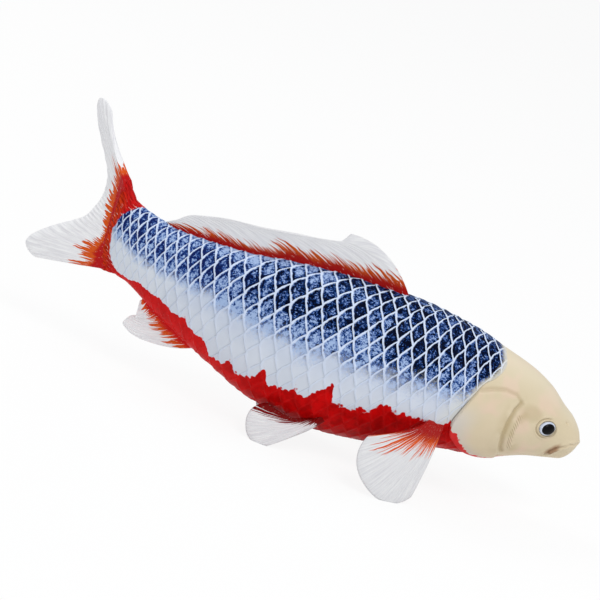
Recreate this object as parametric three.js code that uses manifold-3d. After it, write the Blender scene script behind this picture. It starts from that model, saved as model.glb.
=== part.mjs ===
import * as THREE from 'three';
import { mergeVertices } from 'three/addons/utils/BufferGeometryUtils.js';
import Module from 'manifold-3d';

// Koi figurine that stands on its four paired fins, with its tail swung to its left.
// Millimetres. +X toward the head, +Y toward the fish's left flank, +Z up, ground at Z = 0.
// A distance "from the snout" is measured backward along the curved spine.

// Body: a hollow moulding in two halves that part along the middle of the fish.
const BODY_LENGTH = 179; // snout to the end of the fleshy tail root
const BODY_DEPTH = 54; // lowest belly line to the back line at the deepest section
const BODY_WIDTH = 41; // flank to flank at the widest section
const BELLY_CLEARANCE = 7; // ground to the lowest belly line
const SNOUT_ROUNDING = 6; // length of the rounded end of the snout
const WALL = 2.4;
const CAVITY_FROM_SNOUT = 21;
const CAVITY_FROM_TAIL = 20; // solid length left at the tail root
const SEAM_GAP = 0.3; // glue line between the two halves
const CLEARANCE = 0.3; // round pegs, tangs and pins, and under seated pieces

// Pose: the spine follows two arcs that meet behind the head and both turn to the left.
const BEND_FROM_SNOUT = 61;
const TAIL_BEND_RADIUS = 230;
const HEAD_BEND_RADIUS = 500;

// Head: raised gill covers, a down-turned mouth and set-in eyes.
const GILL_STEP = 0.8; // how far a gill cover stands out from the flank
const CHEEK_FROM_SNOUT = 22; // where a gill cover starts to rise out of the cheek
const GILL_FADE_START = 126; // degrees up the section where its step starts to fade
const GILL_FADE_END = 162;
const NAPE_FROM_SNOUT = 34;
const GILL_FROM_SNOUT = 47.5; // rearmost point of a gill cover
const THROAT_FROM_SNOUT = 27;
const MOUTH_LENGTH = 10.5;
const MOUTH_HEIGHT = 28.5; // of the slit at the snout, above the ground
const MOUTH_DROP = 5; // from the snout to the corner of the mouth
const MOUTH_GAPE = 1.2; // at the snout, closing toward the corner
const EYE_FROM_SNOUT = 15.3;
const EYE_ANGLE = 92.5; // degrees up the section from the belly line
const EYE_DIAMETER = 6.4;
const EYE_BULGE = 1.3;
const EYE_SEAT_DEPTH = 1.2;
const EYE_STEM_DIAMETER = 3;
const EYE_STEM_LENGTH = 4.5;
const EYELID_WIDTH = 1;
const EYELID_HEIGHT = 0.6;
const PUPIL_DIAMETER = 4.6;
const PUPIL_BULGE = 0.9; // above its rim
const PUPIL_SEAT_DEPTH = 0.7;
const PUPIL_PIN_DIAMETER = 1.4;
const PUPIL_PIN_LENGTH = 2.4;

// Locating pins on the left half, in bosses on the right half.
const PIN_STATIONS = [51, 99, 143]; // from the snout
const PIN_DIAMETER = 3;
const PIN_LENGTH = 4;
const BOSS_DIAMETER = 7;

// Fins: blades with raised rays. Middle fins have a tang, paired fins a hub and a peg.
const FIN_ROOT_THICKNESS = 2.4;
const FIN_EDGE_THICKNESS = 1;
const RAY_HEIGHT = 0.4;
const RAY_FULL_AT = 0.3; // share of a ray at which it has risen to its full height
const TANG_THICKNESS = 1.8;
const TANG_DEPTH = 5.5;
const TANG_INSET = 6; // from each end of a fin's base
const PEG_DIAMETER = 4;
const PEG_LENGTH = 6;
const HUB_DIAMETER = 6.4;
const HUB_HEIGHT = 2;
const FOOT_CUT = 0.5; // how much of a paired fin's lowest edge is cut flat at the ground

const DORSAL_FROM_SNOUT = 71;
const DORSAL_BASE = 87;
const DORSAL_HEIGHT = 13.9;
const DORSAL_LEAN = 25; // how far a ray's tip lies behind its foot
const DORSAL_RAYS = 19;

const ANAL_FROM_TAIL = 44.5; // its front end, from the end of the tail root
const ANAL_BASE = 25;
const ANAL_HEIGHT = 13.7;
const ANAL_LEAN = 29;
const ANAL_RAYS = 8;

const TAIL_PITCH = 15.6; // degrees that the tail's axis rises
const TAIL_LOBE_ANGLE = 44.9; // degrees from the tail's axis to a lobe's outer edge
const UPPER_TIP_ANGLE = 37.8; // degrees from the tail's axis to a lobe's tip
const LOWER_TIP_ANGLE = 34.2;
const TAIL_CENTRE_INSET = 8; // where the rays meet, ahead of the tail root's end
const TAIL_CENTRE_HEIGHT = 43.1;
const FORK_LENGTH = 19.7; // tail centre to the fork
const UPPER_LOBE_LENGTH = 53.2; // tail centre to the tip
const LOWER_LOBE_LENGTH = 46;
const UPPER_TIP_ROUNDING = 7.5; // how far a lobe's outer corner is cut back
const LOWER_TIP_ROUNDING = 5;
const UPPER_LOBE_TWIST = 26.4; // degrees that the upper lobe turns about its outer edge
const UPPER_TIP_TWIST = 1.5; // degrees of that turn left at its tip
const TWIST_START = -10.8; // distances along the outer edge from the tail root
const TWIST_PEAK = 6;
const TWIST_END = 36.8;
const UPPER_LOBE_HOLLOW = 2.2; // how far the outer edge curves in from a straight line
const LOWER_LOBE_BOW = 0.1; // how far the outer edge curves out from a straight line
const TAIL_ROOT_THICKNESS = 4;
const TAIL_TANG_HEIGHT = 16;
const TAIL_TANG_DEPTH = 12;
const TAIL_RAYS = 15;

const PECTORAL = {
  fromSnout: 52,
  angle: 64, // degrees up the section from the belly line
  length: 32.2,
  spread: 61.5, // degrees between the first and the last ray
  splay: 39, // degrees outward from straight back
  roll: 58, // degrees that the rear edge is lifted
  rootWidth: 5.5,
  rootTilt: 8.5, // degrees that the root line climbs along the flank
  rays: 11,
};
const PELVIC = {
  fromSnout: 87.1,
  angle: 38.3, // degrees, as for the pectoral fins
  length: 24.4,
  spread: 46.5, // degrees
  splay: 0.6, // degrees
  roll: 63.7, // degrees
  rootWidth: 6,
  rootTilt: -53.2, // degrees, falling along the flank
  rays: 8,
};

// Body sections, as shares: distance from the snout of BODY_LENGTH, heights of the back line
// and belly line above the lowest belly line of BODY_DEPTH, half width of BODY_WIDTH / 2.
const SECTIONS = [
  { at: 0, back: 0.52, belly: 0.31, width: 0.29 },
  { at: 0.022, back: 0.56, belly: 0.283, width: 0.34 },
  { at: 0.05, back: 0.622, belly: 0.269, width: 0.44 },
  { at: 0.084, back: 0.714, belly: 0.24, width: 0.56 },
  { at: 0.128, back: 0.79, belly: 0.196, width: 0.71 },
  { at: 0.19, back: 0.858, belly: 0.138, width: 0.85 },
  { at: 0.268, back: 0.934, belly: 0.114, width: 0.95 },
  { at: 0.385, back: 0.991, belly: 0.039, width: 1 },
  { at: 0.497, back: 1, belly: 0, width: 0.975 },
  { at: 0.609, back: 0.97, belly: 0.033, width: 0.855 },
  { at: 0.732, back: 0.904, belly: 0.166, width: 0.635 },
  { at: 0.866, back: 0.876, belly: 0.336, width: 0.39 },
  { at: 0.961, back: 0.923, belly: 0.439, width: 0.27 },
  { at: 1, back: 1.038, belly: 0.428, width: 0.11 },
];
const SECTION_MIDDLE = 0.52; // share of a section's depth at which it is widest
const SECTION_FULLNESS = 0.92; // below 1 fills out the shoulders of a section

// Rear edge of a gill cover, as shares of the way back from the throat or the nape to its
// rearmost point, and up from the throat to the flank's middle or from there to the nape.
const GILL_LOWER_EDGE = [
  { back: 0.62, up: 0.27 },
  { back: 1, up: 0.83 },
];
const GILL_UPPER_EDGE = [
  { back: 0.6, up: 0.36 },
  { back: 0.06, up: 0.72 },
];

// Fin outlines from the first ray to the last, as shares of the fin's height and lean.
const DORSAL_OUTLINE = [
  { at: 0, height: 1, lean: 1.06 },
  { at: 0.03, height: 0.77, lean: 1.05 },
  { at: 0.06, height: 0.74, lean: 1.03 },
  { at: 0.2, height: 0.69, lean: 0.98 },
  { at: 0.45, height: 0.685, lean: 0.95 },
  { at: 0.7, height: 0.5, lean: 0.74 },
  { at: 0.88, height: 0.19, lean: 0.38 },
  { at: 1, height: 0.05, lean: 0.08 },
];
const ANAL_OUTLINE = [
  { at: 0, height: 1, lean: 0.92 },
  { at: 0.25, height: 0.97, lean: 0.8 },
  { at: 0.5, height: 0.695, lean: 0.54 },
  { at: 0.62, height: 0.6, lean: 0.4 },
  { at: 0.8, height: 0.525, lean: 0.2 },
  { at: 1, height: 0.11, lean: 0.03 },
];
const DORSAL_RAY_CURVE = 2.2; // how strongly the rays bow backward, 1 for straight rays
const ANAL_RAY_CURVE = 1.45;
const UPPER_FORK_SHARPNESS = 3.46; // above 1 hollows out the fork
const LOWER_FORK_SHARPNESS = 2.84;
const LOBE_TIGHTNESS = 6.7; // higher makes a lobe's end less round
const PAIRED_ROUNDING = 0.23; // share of its length that a paired fin loses at its first ray
const PAIRED_FULLNESS = 2.7; // above 2 squares off the fan's end
const PAIRED_BEND_AT = 0.4; // share of a ray at which it bends most

// Facets
const SECTION_STEPS = 14; // on each side of a section
const STATION_STEP = 5;
const SNOUT_RINGS = 4;
const BLADE_ROWS = 5;
const ROUND_STEPS = 14;
const DOME_STEPS = 3;
const MOUTH_STEPS = 3;
const DROOP_TRIALS = 40; // halvings in the search for a fin's droop

const RIGHT = -1;
const LEFT = 1;
const SIDES = [
  { name: 'right', side: RIGHT },
  { name: 'left', side: LEFT },
];
const UP = new THREE.Vector3(0, 0, 1);

const wasm = await Module();
wasm.setup();

const radians = THREE.MathUtils.degToRad;
const mix = THREE.MathUtils.lerp;
const smoothstep = THREE.MathUtils.smoothstep;

// Curve through knots that adds no bump of its own between them.
function smoothCurve(knots) {
  const count = knots.length;
  const secant = (i) => (knots[i + 1][1] - knots[i][1]) / (knots[i + 1][0] - knots[i][0]);
  const slopes = knots.map((knot, i) => {
    if (i === 0) return secant(0);
    if (i === count - 1) return secant(count - 2);
    const before = secant(i - 1);
    const after = secant(i);
    return before * after > 0 ? (2 * before * after) / (before + after) : 0;
  });
  return (x) => {
    let i = 0;
    while (i < count - 2 && x > knots[i + 1][0]) i += 1;
    const span = knots[i + 1][0] - knots[i][0];
    const t = THREE.MathUtils.clamp((x - knots[i][0]) / span, 0, 1);
    const rise = t * t * (3 - 2 * t);
    const leave = t * (1 - t) * (1 - t) * span * slopes[i];
    const arrive = t * t * (t - 1) * span * slopes[i + 1];
    return mix(knots[i][1], knots[i + 1][1], rise) + leave + arrive;
  };
}

const shareCurve = (table, key) => smoothCurve(table.map((row) => [row.at, row[key]]));
const backShare = shareCurve(SECTIONS, 'back');
const bellyShare = shareCurve(SECTIONS, 'belly');
const widthShare = shareCurve(SECTIONS, 'width');

// Spine point at a distance from the snout, with the directions to the tail and to the left.
function spineAt(fromSnout) {
  const radius = fromSnout > BEND_FROM_SNOUT ? TAIL_BEND_RADIUS : HEAD_BEND_RADIUS;
  const turn = (fromSnout - BEND_FROM_SNOUT) / radius;
  return {
    point: new THREE.Vector3(-radius * Math.sin(turn), radius * (1 - Math.cos(turn)), 0),
    rearward: new THREE.Vector3(-Math.cos(turn), Math.sin(turn), 0),
    left: new THREE.Vector3(Math.sin(turn), Math.cos(turn), 0),
  };
}

// Heights and half width of the body at a distance from the snout.
function sectionAt(fromSnout) {
  const share = fromSnout / BODY_LENGTH;
  const back = BELLY_CLEARANCE + BODY_DEPTH * backShare(share);
  const belly = BELLY_CLEARANCE + BODY_DEPTH * bellyShare(share);
  const middle = mix(belly, back, SECTION_MIDDLE);
  const toTip = THREE.MathUtils.clamp(1 - fromSnout / SNOUT_ROUNDING, 0, 1);
  const rounding = Math.sqrt(1 - toTip * toTip);
  return {
    middle,
    back: mix(middle, back, rounding),
    belly: mix(middle, belly, rounding),
    half: (BODY_WIDTH / 2) * widthShare(share) * rounding,
  };
}

// Point of the body's surface, grown or shrunk by a distance. The angle runs from the belly
// line, 0, to the back line, PI.
function skinPoint(fromSnout, angle, side, grow = 0) {
  const section = sectionAt(fromSnout);
  const spine = spineAt(fromSnout);
  const rise = -Math.cos(angle);
  const reach = rise < 0 ? section.middle - section.belly : section.back - section.middle;
  const out = (section.half + grow) * Math.abs(Math.sin(angle)) ** SECTION_FULLNESS;
  return spine.point
    .addScaledVector(spine.left, side * out)
    .addScaledVector(UP, section.middle + rise * (reach + grow));
}

// Surface point with its outward normal and its rearward and upward tangents.
function skinFrame(fromSnout, angle, side) {
  const delta = 0.01;
  const at = skinPoint(fromSnout, angle, side);
  const rearward = skinPoint(fromSnout + delta, angle, side).sub(at).normalize();
  const climb = skinPoint(fromSnout, angle + delta, side).sub(at).normalize();
  const outward = new THREE.Vector3().crossVectors(rearward, climb).multiplyScalar(side).normalize();
  return { at, rearward, climb, outward };
}

// Triangle mesh from points and triangles.
function closedGeometry(points, triangles) {
  const geometry = new THREE.BufferGeometry();
  const positions = points.flatMap((point) => point.toArray());
  geometry.setAttribute('position', new THREE.Float32BufferAttribute(positions, 3));
  geometry.setIndex(triangles.flat());
  return geometry;
}

// Solid for joining and cutting: shared corners merged, empty triangles dropped, faces out.
function toSolid(geometry) {
  const bare = geometry.clone();
  bare.deleteAttribute('normal');
  bare.deleteAttribute('uv');
  const merged = mergeVertices(bare, 1e-4);
  const positions = merged.attributes.position.array;
  const corner = (i) => new THREE.Vector3().fromArray(positions, 3 * i);
  const kept = [];
  let volume = 0;
  for (let i = 0; i < merged.index.count; i += 3) {
    const [a, b, c] = merged.index.array.slice(i, i + 3);
    if (a === b || b === c || c === a) continue;
    kept.push([a, b, c]);
    volume += corner(a).dot(corner(b).cross(corner(c)));
  }
  const triVerts = Uint32Array.from((volume < 0 ? kept.map(([a, b, c]) => [a, c, b]) : kept).flat());
  const mesh = new wasm.Mesh({ numProp: 3, vertProperties: Float32Array.from(positions), triVerts });
  return new wasm.Manifold(mesh);
}

function toGeometry(solid) {
  const { vertProperties, triVerts } = solid.getMesh();
  const geometry = new THREE.BufferGeometry();
  geometry.setAttribute('position', new THREE.BufferAttribute(vertProperties, 3));
  geometry.setIndex(new THREE.BufferAttribute(triVerts, 1));
  geometry.computeVertexNormals();
  return geometry;
}

const joined = (solid, ...others) => others.reduce((sum, other) => sum.add(other), solid);
const cut = (solid, ...others) => others.reduce((rest, other) => rest.subtract(other), solid);

// Solid through a row of closed rings, with a flat or pointed cap at each end.
function loft(rings) {
  const around = rings[0].length;
  const points = rings.flat();
  const triangles = [];
  for (let ring = 0; ring < rings.length - 1; ring += 1) {
    for (let i = 0; i < around; i += 1) {
      const a = ring * around + i;
      const b = ring * around + ((i + 1) % around);
      triangles.push([a, a + around, b], [b, a + around, b + around]);
    }
  }
  [0, rings.length - 1].forEach((ring) => {
    const centre = new THREE.Vector3();
    rings[ring].forEach((p) => centre.addScaledVector(p, 1 / around));
    points.push(centre);
    for (let i = 0; i < around; i += 1) {
      const edge = [ring * around + i, ring * around + ((i + 1) % around)];
      triangles.push([points.length - 1, ...(ring === 0 ? edge : edge.reverse())]);
    }
  });
  return toSolid(closedGeometry(points, triangles));
}

// Body form between two distances from the snout, grown or shrunk by a distance that may
// change along the fish and up the section.
function bodyForm(start, end, growAt) {
  const stations = [];
  for (let i = 0; i < SNOUT_RINGS && start < SNOUT_ROUNDING; i += 1) {
    stations.push(start + SNOUT_ROUNDING * (1 - Math.cos((i / SNOUT_RINGS) * (Math.PI / 2))));
  }
  const first = start < SNOUT_ROUNDING ? start + SNOUT_ROUNDING : start;
  const steps = Math.ceil((end - first) / STATION_STEP);
  for (let i = 0; i <= steps; i += 1) stations.push(mix(first, end, i / steps));
  return loft(stations.map((fromSnout) => {
    const ring = [];
    for (let i = 0; i < 2 * SECTION_STEPS; i += 1) {
      const angle = (Math.PI * i) / SECTION_STEPS;
      const side = angle < Math.PI ? RIGHT : LEFT;
      const climb = Math.min(angle, 2 * Math.PI - angle);
      ring.push(skinPoint(fromSnout, climb, side, growAt(fromSnout, climb)));
    }
    return ring;
  }));
}

// Everything on one side of the parting line.
function sideBlock(side) {
  const beyond = BODY_WIDTH;
  const low = -BODY_DEPTH;
  const high = 3 * BODY_DEPTH;
  const rings = [];
  for (let fromSnout = -beyond; fromSnout < BODY_LENGTH + beyond; fromSnout += STATION_STEP) {
    const { point, left } = spineAt(fromSnout);
    const inner = point.clone().addScaledVector(left, (side * SEAM_GAP) / 2);
    const outer = point.clone().addScaledVector(left, side * beyond);
    rings.push([[inner, low], [outer, low], [outer, high], [inner, high]].map(
      ([at, height]) => at.clone().setZ(height),
    ));
  }
  return loft(rings);
}

// Turns a shape whose axis is +Y to point along an axis from an origin.
function placed(geometry, origin, axis) {
  const turn = new THREE.Quaternion().setFromUnitVectors(new THREE.Vector3(0, 1, 0), axis);
  return toSolid(geometry.applyQuaternion(turn).translate(origin.x, origin.y, origin.z));
}

// Round bar along an axis, from one distance to another.
function bar(diameter, start, end, origin, axis) {
  const geometry = new THREE.CylinderGeometry(diameter / 2, diameter / 2, end - start, ROUND_STEPS);
  return placed(geometry.translate(0, (start + end) / 2, 0), origin, axis);
}

// Turned shape from a profile of [radius, distance along the axis].
function turned(profile, origin, axis) {
  const points = profile.map(([radius, along]) => new THREE.Vector2(radius, along));
  return placed(new THREE.LatheGeometry(points, ROUND_STEPS), origin, axis);
}

// Outline in the fish's side view, drawn straight through from flank to flank.
function sideCutter(outline) {
  const shape = new THREE.Shape(outline.map(([x, z]) => new THREE.Vector2(x, z)));
  const depth = 2 * BODY_WIDTH;
  const geometry = new THREE.ExtrudeGeometry(shape, { depth, bevelEnabled: false });
  return toSolid(geometry.translate(0, 0, -depth / 2).rotateX(Math.PI / 2));
}

// Thin solid on both sides of a middle surface. Across and along run from 0 to 1.
function blade(columns, rows, middleAt, halfThicknessAt) {
  const delta = 1e-3;
  const normalAt = (across, along) => {
    const a = Math.min(across, 1 - delta);
    const b = Math.min(along, 1 - delta);
    const here = middleAt(a, b);
    const sideways = middleAt(a + delta, b).sub(here);
    return sideways.cross(middleAt(a, b + delta).sub(here)).normalize();
  };
  const points = [];
  const index = (face, i, j) => (face * (columns + 1) + i) * (rows + 1) + j;
  [1, -1].forEach((face) => {
    for (let i = 0; i <= columns; i += 1) {
      for (let j = 0; j <= rows; j += 1) {
        const across = i / columns;
        const along = j / rows;
        const half = halfThicknessAt(across, along, i % 2 === 1);
        points.push(middleAt(across, along).addScaledVector(normalAt(across, along), face * half));
      }
    }
  });
  const triangles = [];
  const quad = (a, b, c, d) => triangles.push([a, b, c], [a, c, d]);
  for (let i = 0; i < columns; i += 1) {
    for (let j = 0; j < rows; j += 1) {
      quad(index(0, i, j), index(0, i + 1, j), index(0, i + 1, j + 1), index(0, i, j + 1));
      quad(index(1, i, j + 1), index(1, i + 1, j + 1), index(1, i + 1, j), index(1, i, j));
    }
    quad(index(1, i, 0), index(1, i + 1, 0), index(0, i + 1, 0), index(0, i, 0));
    quad(index(0, i, rows), index(0, i + 1, rows), index(1, i + 1, rows), index(1, i, rows));
  }
  for (let j = 0; j < rows; j += 1) {
    quad(index(0, 0, j), index(0, 0, j + 1), index(1, 0, j + 1), index(1, 0, j));
    quad(index(1, columns, j), index(1, columns, j + 1), index(0, columns, j + 1), index(0, columns, j));
  }
  return toSolid(closedGeometry(points, triangles));
}

// Half thickness of a fin that thins from its root to its edge and swells at each ray.
function finHalfThickness(root) {
  return (across, along, onRay) => {
    const plain = mix(root, FIN_EDGE_THICKNESS, Math.sqrt(along)) / 2;
    return plain + (onRay ? (RAY_HEIGHT / 2) * smoothstep(along, 0, RAY_FULL_AT) : 0);
  };
}

// Point on the fish's middle plane, at a distance from the snout and a height.
const middlePoint = (fromSnout, height) => spineAt(fromSnout).point.setZ(height);

// Flat plate on the middle plane between two distances from the snout and two edge lines.
function middlePlate(start, end, thickness, lowerAt, upperAt) {
  const columns = Math.ceil((end - start) / STATION_STEP);
  return blade(
    columns,
    1,
    (across, along) => {
      const fromSnout = mix(start, end, across);
      return middlePoint(fromSnout, mix(lowerAt(fromSnout), upperAt(fromSnout), along));
    },
    () => thickness / 2,
  );
}

const backLine = (fromSnout) => sectionAt(fromSnout).back;
const bellyLine = (fromSnout) => sectionAt(fromSnout).belly;

// Fin on the back line or the belly line. Its rays leave the line and bow backward.
function edgeFin({ start, base, height, lean, rays, curve, outline, line, direction }) {
  const heightShare = shareCurve(outline, 'height');
  const leanShare = shareCurve(outline, 'lean');
  const middleAt = (across, along) => {
    const fromSnout = start + base * across + lean * leanShare(across) * along;
    const rise = height * heightShare(across) * (1 - (1 - along) ** curve);
    return middlePoint(fromSnout, line(fromSnout) + direction * (CLEARANCE + rise));
  };
  const tang = (grow) => middlePlate(
    start + TANG_INSET - grow,
    start + base - TANG_INSET + grow,
    TANG_THICKNESS + 2 * grow,
    (fromSnout) => line(fromSnout) - direction * (TANG_DEPTH + grow),
    (fromSnout) => line(fromSnout) + direction * 2 * CLEARANCE,
  );
  const leaf = blade(2 * rays, BLADE_ROWS, middleAt, finHalfThickness(FIN_ROOT_THICKNESS));
  return { solid: joined(leaf, tang(0)), slot: tang(CLEARANCE) };
}

// Forked tail. Each ray runs from the tail root to the curve of the fork, and the upper lobe
// turns about its outer edge toward its tip.
function tailFin() {
  const rootStation = BODY_LENGTH + CLEARANCE;
  const root = sectionAt(BODY_LENGTH);
  const pitch = radians(TAIL_PITCH);
  const onTail = (reach, angle) => new THREE.Vector2(
    BODY_LENGTH - TAIL_CENTRE_INSET + reach * Math.cos(angle + pitch),
    TAIL_CENTRE_HEIGHT + reach * Math.sin(angle + pitch),
  );
  const tipAt = (spread) => {
    const angle = Math.abs(spread) * TAIL_LOBE_ANGLE;
    const lobe = spread > 0 ? UPPER_LOBE_LENGTH : LOWER_LOBE_LENGTH;
    const sharpness = spread > 0 ? UPPER_FORK_SHARPNESS : LOWER_FORK_SHARPNESS;
    const rounding = spread > 0 ? UPPER_TIP_ROUNDING : LOWER_TIP_ROUNDING;
    const tipAngle = spread > 0 ? UPPER_TIP_ANGLE : LOWER_TIP_ANGLE;
    const climb = (angle / tipAngle) ** sharpness;
    const rise = climb / (1 + climb ** LOBE_TIGHTNESS) ** (1 / LOBE_TIGHTNESS);
    const past = Math.max(angle - tipAngle, 0) / (TAIL_LOBE_ANGLE - tipAngle);
    const reach = mix(FORK_LENGTH, lobe, rise) - rounding * past * past;
    return onTail(reach, radians(angle) * Math.sign(spread));
  };
  const rootAt = (spread) => new THREE.Vector2(rootStation, mix(root.belly, root.back, (spread + 1) / 2));
  const upperRoot = rootAt(1);
  const outerEdge = tipAt(1).sub(upperRoot).normalize();
  const inward = new THREE.Vector2(outerEdge.y, -outerEdge.x);
  const spreadOf = (across) => {
    const even = 2 * across - 1;
    return (even + Math.sin((even * Math.PI) / 2)) / 2;
  };
  const middleAt = (across, along) => {
    const spread = spreadOf(across);
    const flat = rootAt(spread).lerp(tipAt(spread), along);
    const curve = spread * Math.sin(Math.PI * along);
    if (spread > 0) flat.addScaledVector(inward, UPPER_LOBE_HOLLOW * curve);
    else flat.y += LOWER_LOBE_BOW * curve;
    const fromRoot = flat.clone().sub(upperRoot);
    const outward = fromRoot.dot(outerEdge);
    const depth = fromRoot.dot(inward);
    const settled = mix(UPPER_LOBE_TWIST, UPPER_TIP_TWIST, smoothstep(outward, TWIST_PEAK, TWIST_END));
    const twist = radians(settled) * smoothstep(outward, TWIST_START, TWIST_PEAK);
    flat.addScaledVector(inward, depth * (Math.cos(twist) - 1));
    const { point, left } = spineAt(flat.x);
    return point.setZ(flat.y).addScaledVector(left, depth * Math.sin(twist));
  };
  const tang = (grow) => middlePlate(
    BODY_LENGTH - TAIL_TANG_DEPTH - grow,
    rootStation + 2 * CLEARANCE,
    TANG_THICKNESS + 2 * grow,
    () => root.middle - TAIL_TANG_HEIGHT / 2 - grow,
    () => root.middle + TAIL_TANG_HEIGHT / 2 + grow,
  );
  const leaf = blade(2 * TAIL_RAYS, BLADE_ROWS, middleAt, finHalfThickness(TAIL_ROOT_THICKNESS));
  return { solid: joined(leaf, tang(0)), slot: tang(CLEARANCE) };
}

// Paired fin: a fan of rays on a hub, with a peg into the body. Its droop is found so that its
// lowest edge reaches just below the ground, where it is cut flat to stand on.
function pairedFin(fin, side) {
  const { at, outward, rearward, climb } = skinFrame(fin.fromSnout, radians(fin.angle), side);
  const spine = spineAt(fin.fromSnout);
  const sideways = spine.left.multiplyScalar(side);
  const hub = at.clone().addScaledVector(outward, CLEARANCE + HUB_HEIGHT / 2);
  const tilt = radians(fin.rootTilt);
  const rootLine = rearward.multiplyScalar(Math.cos(tilt)).addScaledVector(climb, Math.sin(tilt));
  const splay = radians(fin.splay);
  const back = spine.rearward;
  const level = back.clone().multiplyScalar(Math.cos(splay)).addScaledVector(sideways, Math.sin(splay));
  const across = back.clone().multiplyScalar(Math.sin(splay)).addScaledVector(sideways, -Math.cos(splay));

  const surfaceFor = (droop) => {
    const centre = level.clone().multiplyScalar(Math.cos(droop)).addScaledVector(UP, -Math.sin(droop));
    const lift = level.clone().multiplyScalar(Math.sin(droop)).addScaledVector(UP, Math.cos(droop));
    const roll = radians(fin.roll);
    const edge = across.clone().multiplyScalar(Math.cos(roll)).addScaledVector(lift, Math.sin(roll));
    return (order, along) => {
      const spread = 2 * order - 1;
      const angle = (radians(fin.spread) / 2) * spread;
      const reach = fin.length * (1 - PAIRED_ROUNDING * Math.abs(spread) ** PAIRED_FULLNESS);
      const root = hub.clone().addScaledVector(rootLine, (fin.rootWidth / 2) * spread);
      const tip = hub.clone()
        .addScaledVector(centre, reach * Math.cos(angle))
        .addScaledVector(edge, reach * Math.sin(angle));
      const bend = root.clone().lerp(tip, PAIRED_BEND_AT).addScaledVector(outward, HUB_HEIGHT);
      return root.lerp(bend, along).lerp(bend.clone().lerp(tip, along), along);
    };
  };
  const lowest = (droop) => {
    const surface = surfaceFor(droop);
    let low = Infinity;
    for (let i = 0; i <= 2 * fin.rays; i += 1) low = Math.min(low, surface(i / (2 * fin.rays), 1).z);
    return low;
  };
  let shallow = 0;
  let steep = Math.PI / 2;
  for (let i = 0; i < DROOP_TRIALS; i += 1) {
    const droop = (shallow + steep) / 2;
    if (lowest(droop) > -FOOT_CUT) shallow = droop;
    else steep = droop;
  }
  const leaf = blade(2 * fin.rays, BLADE_ROWS, surfaceFor(steep), finHalfThickness(FIN_ROOT_THICKNESS));
  const hubBar = bar(HUB_DIAMETER, CLEARANCE, CLEARANCE + HUB_HEIGHT, at, outward);
  const peg = bar(PEG_DIAMETER, -PEG_LENGTH, CLEARANCE + HUB_HEIGHT, at, outward);
  const socket = bar(PEG_DIAMETER + 2 * CLEARANCE, -PEG_LENGTH - CLEARANCE, HUB_HEIGHT, at, outward);
  const below = new THREE.BoxGeometry(4 * BODY_LENGTH, 4 * BODY_LENGTH, BODY_DEPTH);
  const ground = toSolid(below.translate(0, 0, -BODY_DEPTH / 2));
  return { solid: cut(joined(leaf, hubBar, peg), ground), slot: socket };
}

// Height of a dome above its rim, at a radius.
function domeHeight(radius, rim, rise) {
  return rise * Math.sqrt(1 - (radius / rim) ** 2);
}

// Part of a dome's profile, from one radius in to another.
function domeProfile(start, end, rim, base, rise) {
  const points = [];
  for (let i = 0; i <= DOME_STEPS; i += 1) {
    const radius = mix(start, end, Math.sin(((i / DOME_STEPS) * Math.PI) / 2) ** 2);
    points.push([radius, base + domeHeight(radius, rim, rise)]);
  }
  return points;
}

// White of the eye on a stem, the black pupil pinned into it, and their seat in the head.
function eyePieces(side) {
  const { at, outward } = skinFrame(EYE_FROM_SNOUT, radians(EYE_ANGLE), side);
  const eye = EYE_DIAMETER / 2;
  const stem = EYE_STEM_DIAMETER / 2;
  const pupil = PUPIL_DIAMETER / 2;
  const pin = PUPIL_PIN_DIAMETER / 2;
  const under = CLEARANCE - EYE_SEAT_DEPTH;
  const recess = pupil + CLEARANCE;
  const pupilRim = domeHeight(pupil, eye, EYE_BULGE);
  const pupilSeat = pupilRim - PUPIL_SEAT_DEPTH;
  const pinEnd = pupilSeat - PUPIL_PIN_LENGTH;
  const white = [
    [0, -EYE_STEM_LENGTH], [stem, -EYE_STEM_LENGTH], [stem, under], [eye, under],
    ...domeProfile(eye, recess, eye, 0, EYE_BULGE),
    [recess, pupilSeat - CLEARANCE], [pin + CLEARANCE, pupilSeat - CLEARANCE],
    [pin + CLEARANCE, pinEnd - CLEARANCE], [0, pinEnd - CLEARANCE],
  ];
  const black = [
    [0, pinEnd], [pin, pinEnd], [pin, pupilSeat], [pupil, pupilSeat],
    ...domeProfile(pupil, 0, pupil, pupilRim, PUPIL_BULGE),
  ];
  const lidInner = eye + CLEARANCE;
  const lidOuter = lidInner + EYELID_WIDTH;
  const lid = [
    [0, -EYE_SEAT_DEPTH], [lidOuter, -EYE_SEAT_DEPTH], [lidOuter, 0],
    [(lidInner + lidOuter) / 2, EYELID_HEIGHT], [lidInner, EYELID_HEIGHT], [0, EYELID_HEIGHT],
  ];
  const bore = [
    [0, -EYE_STEM_LENGTH - CLEARANCE], [stem + CLEARANCE, -EYE_STEM_LENGTH - CLEARANCE],
    [stem + CLEARANCE, -EYE_SEAT_DEPTH], [lidInner, -EYE_SEAT_DEPTH],
    [lidInner, EYE_BULGE], [0, EYE_BULGE],
  ];
  return {
    white: turned(white, at, outward),
    black: turned(black, at, outward),
    lid: turned(lid, at, outward),
    bore: turned(bore, at, outward),
  };
}

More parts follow.
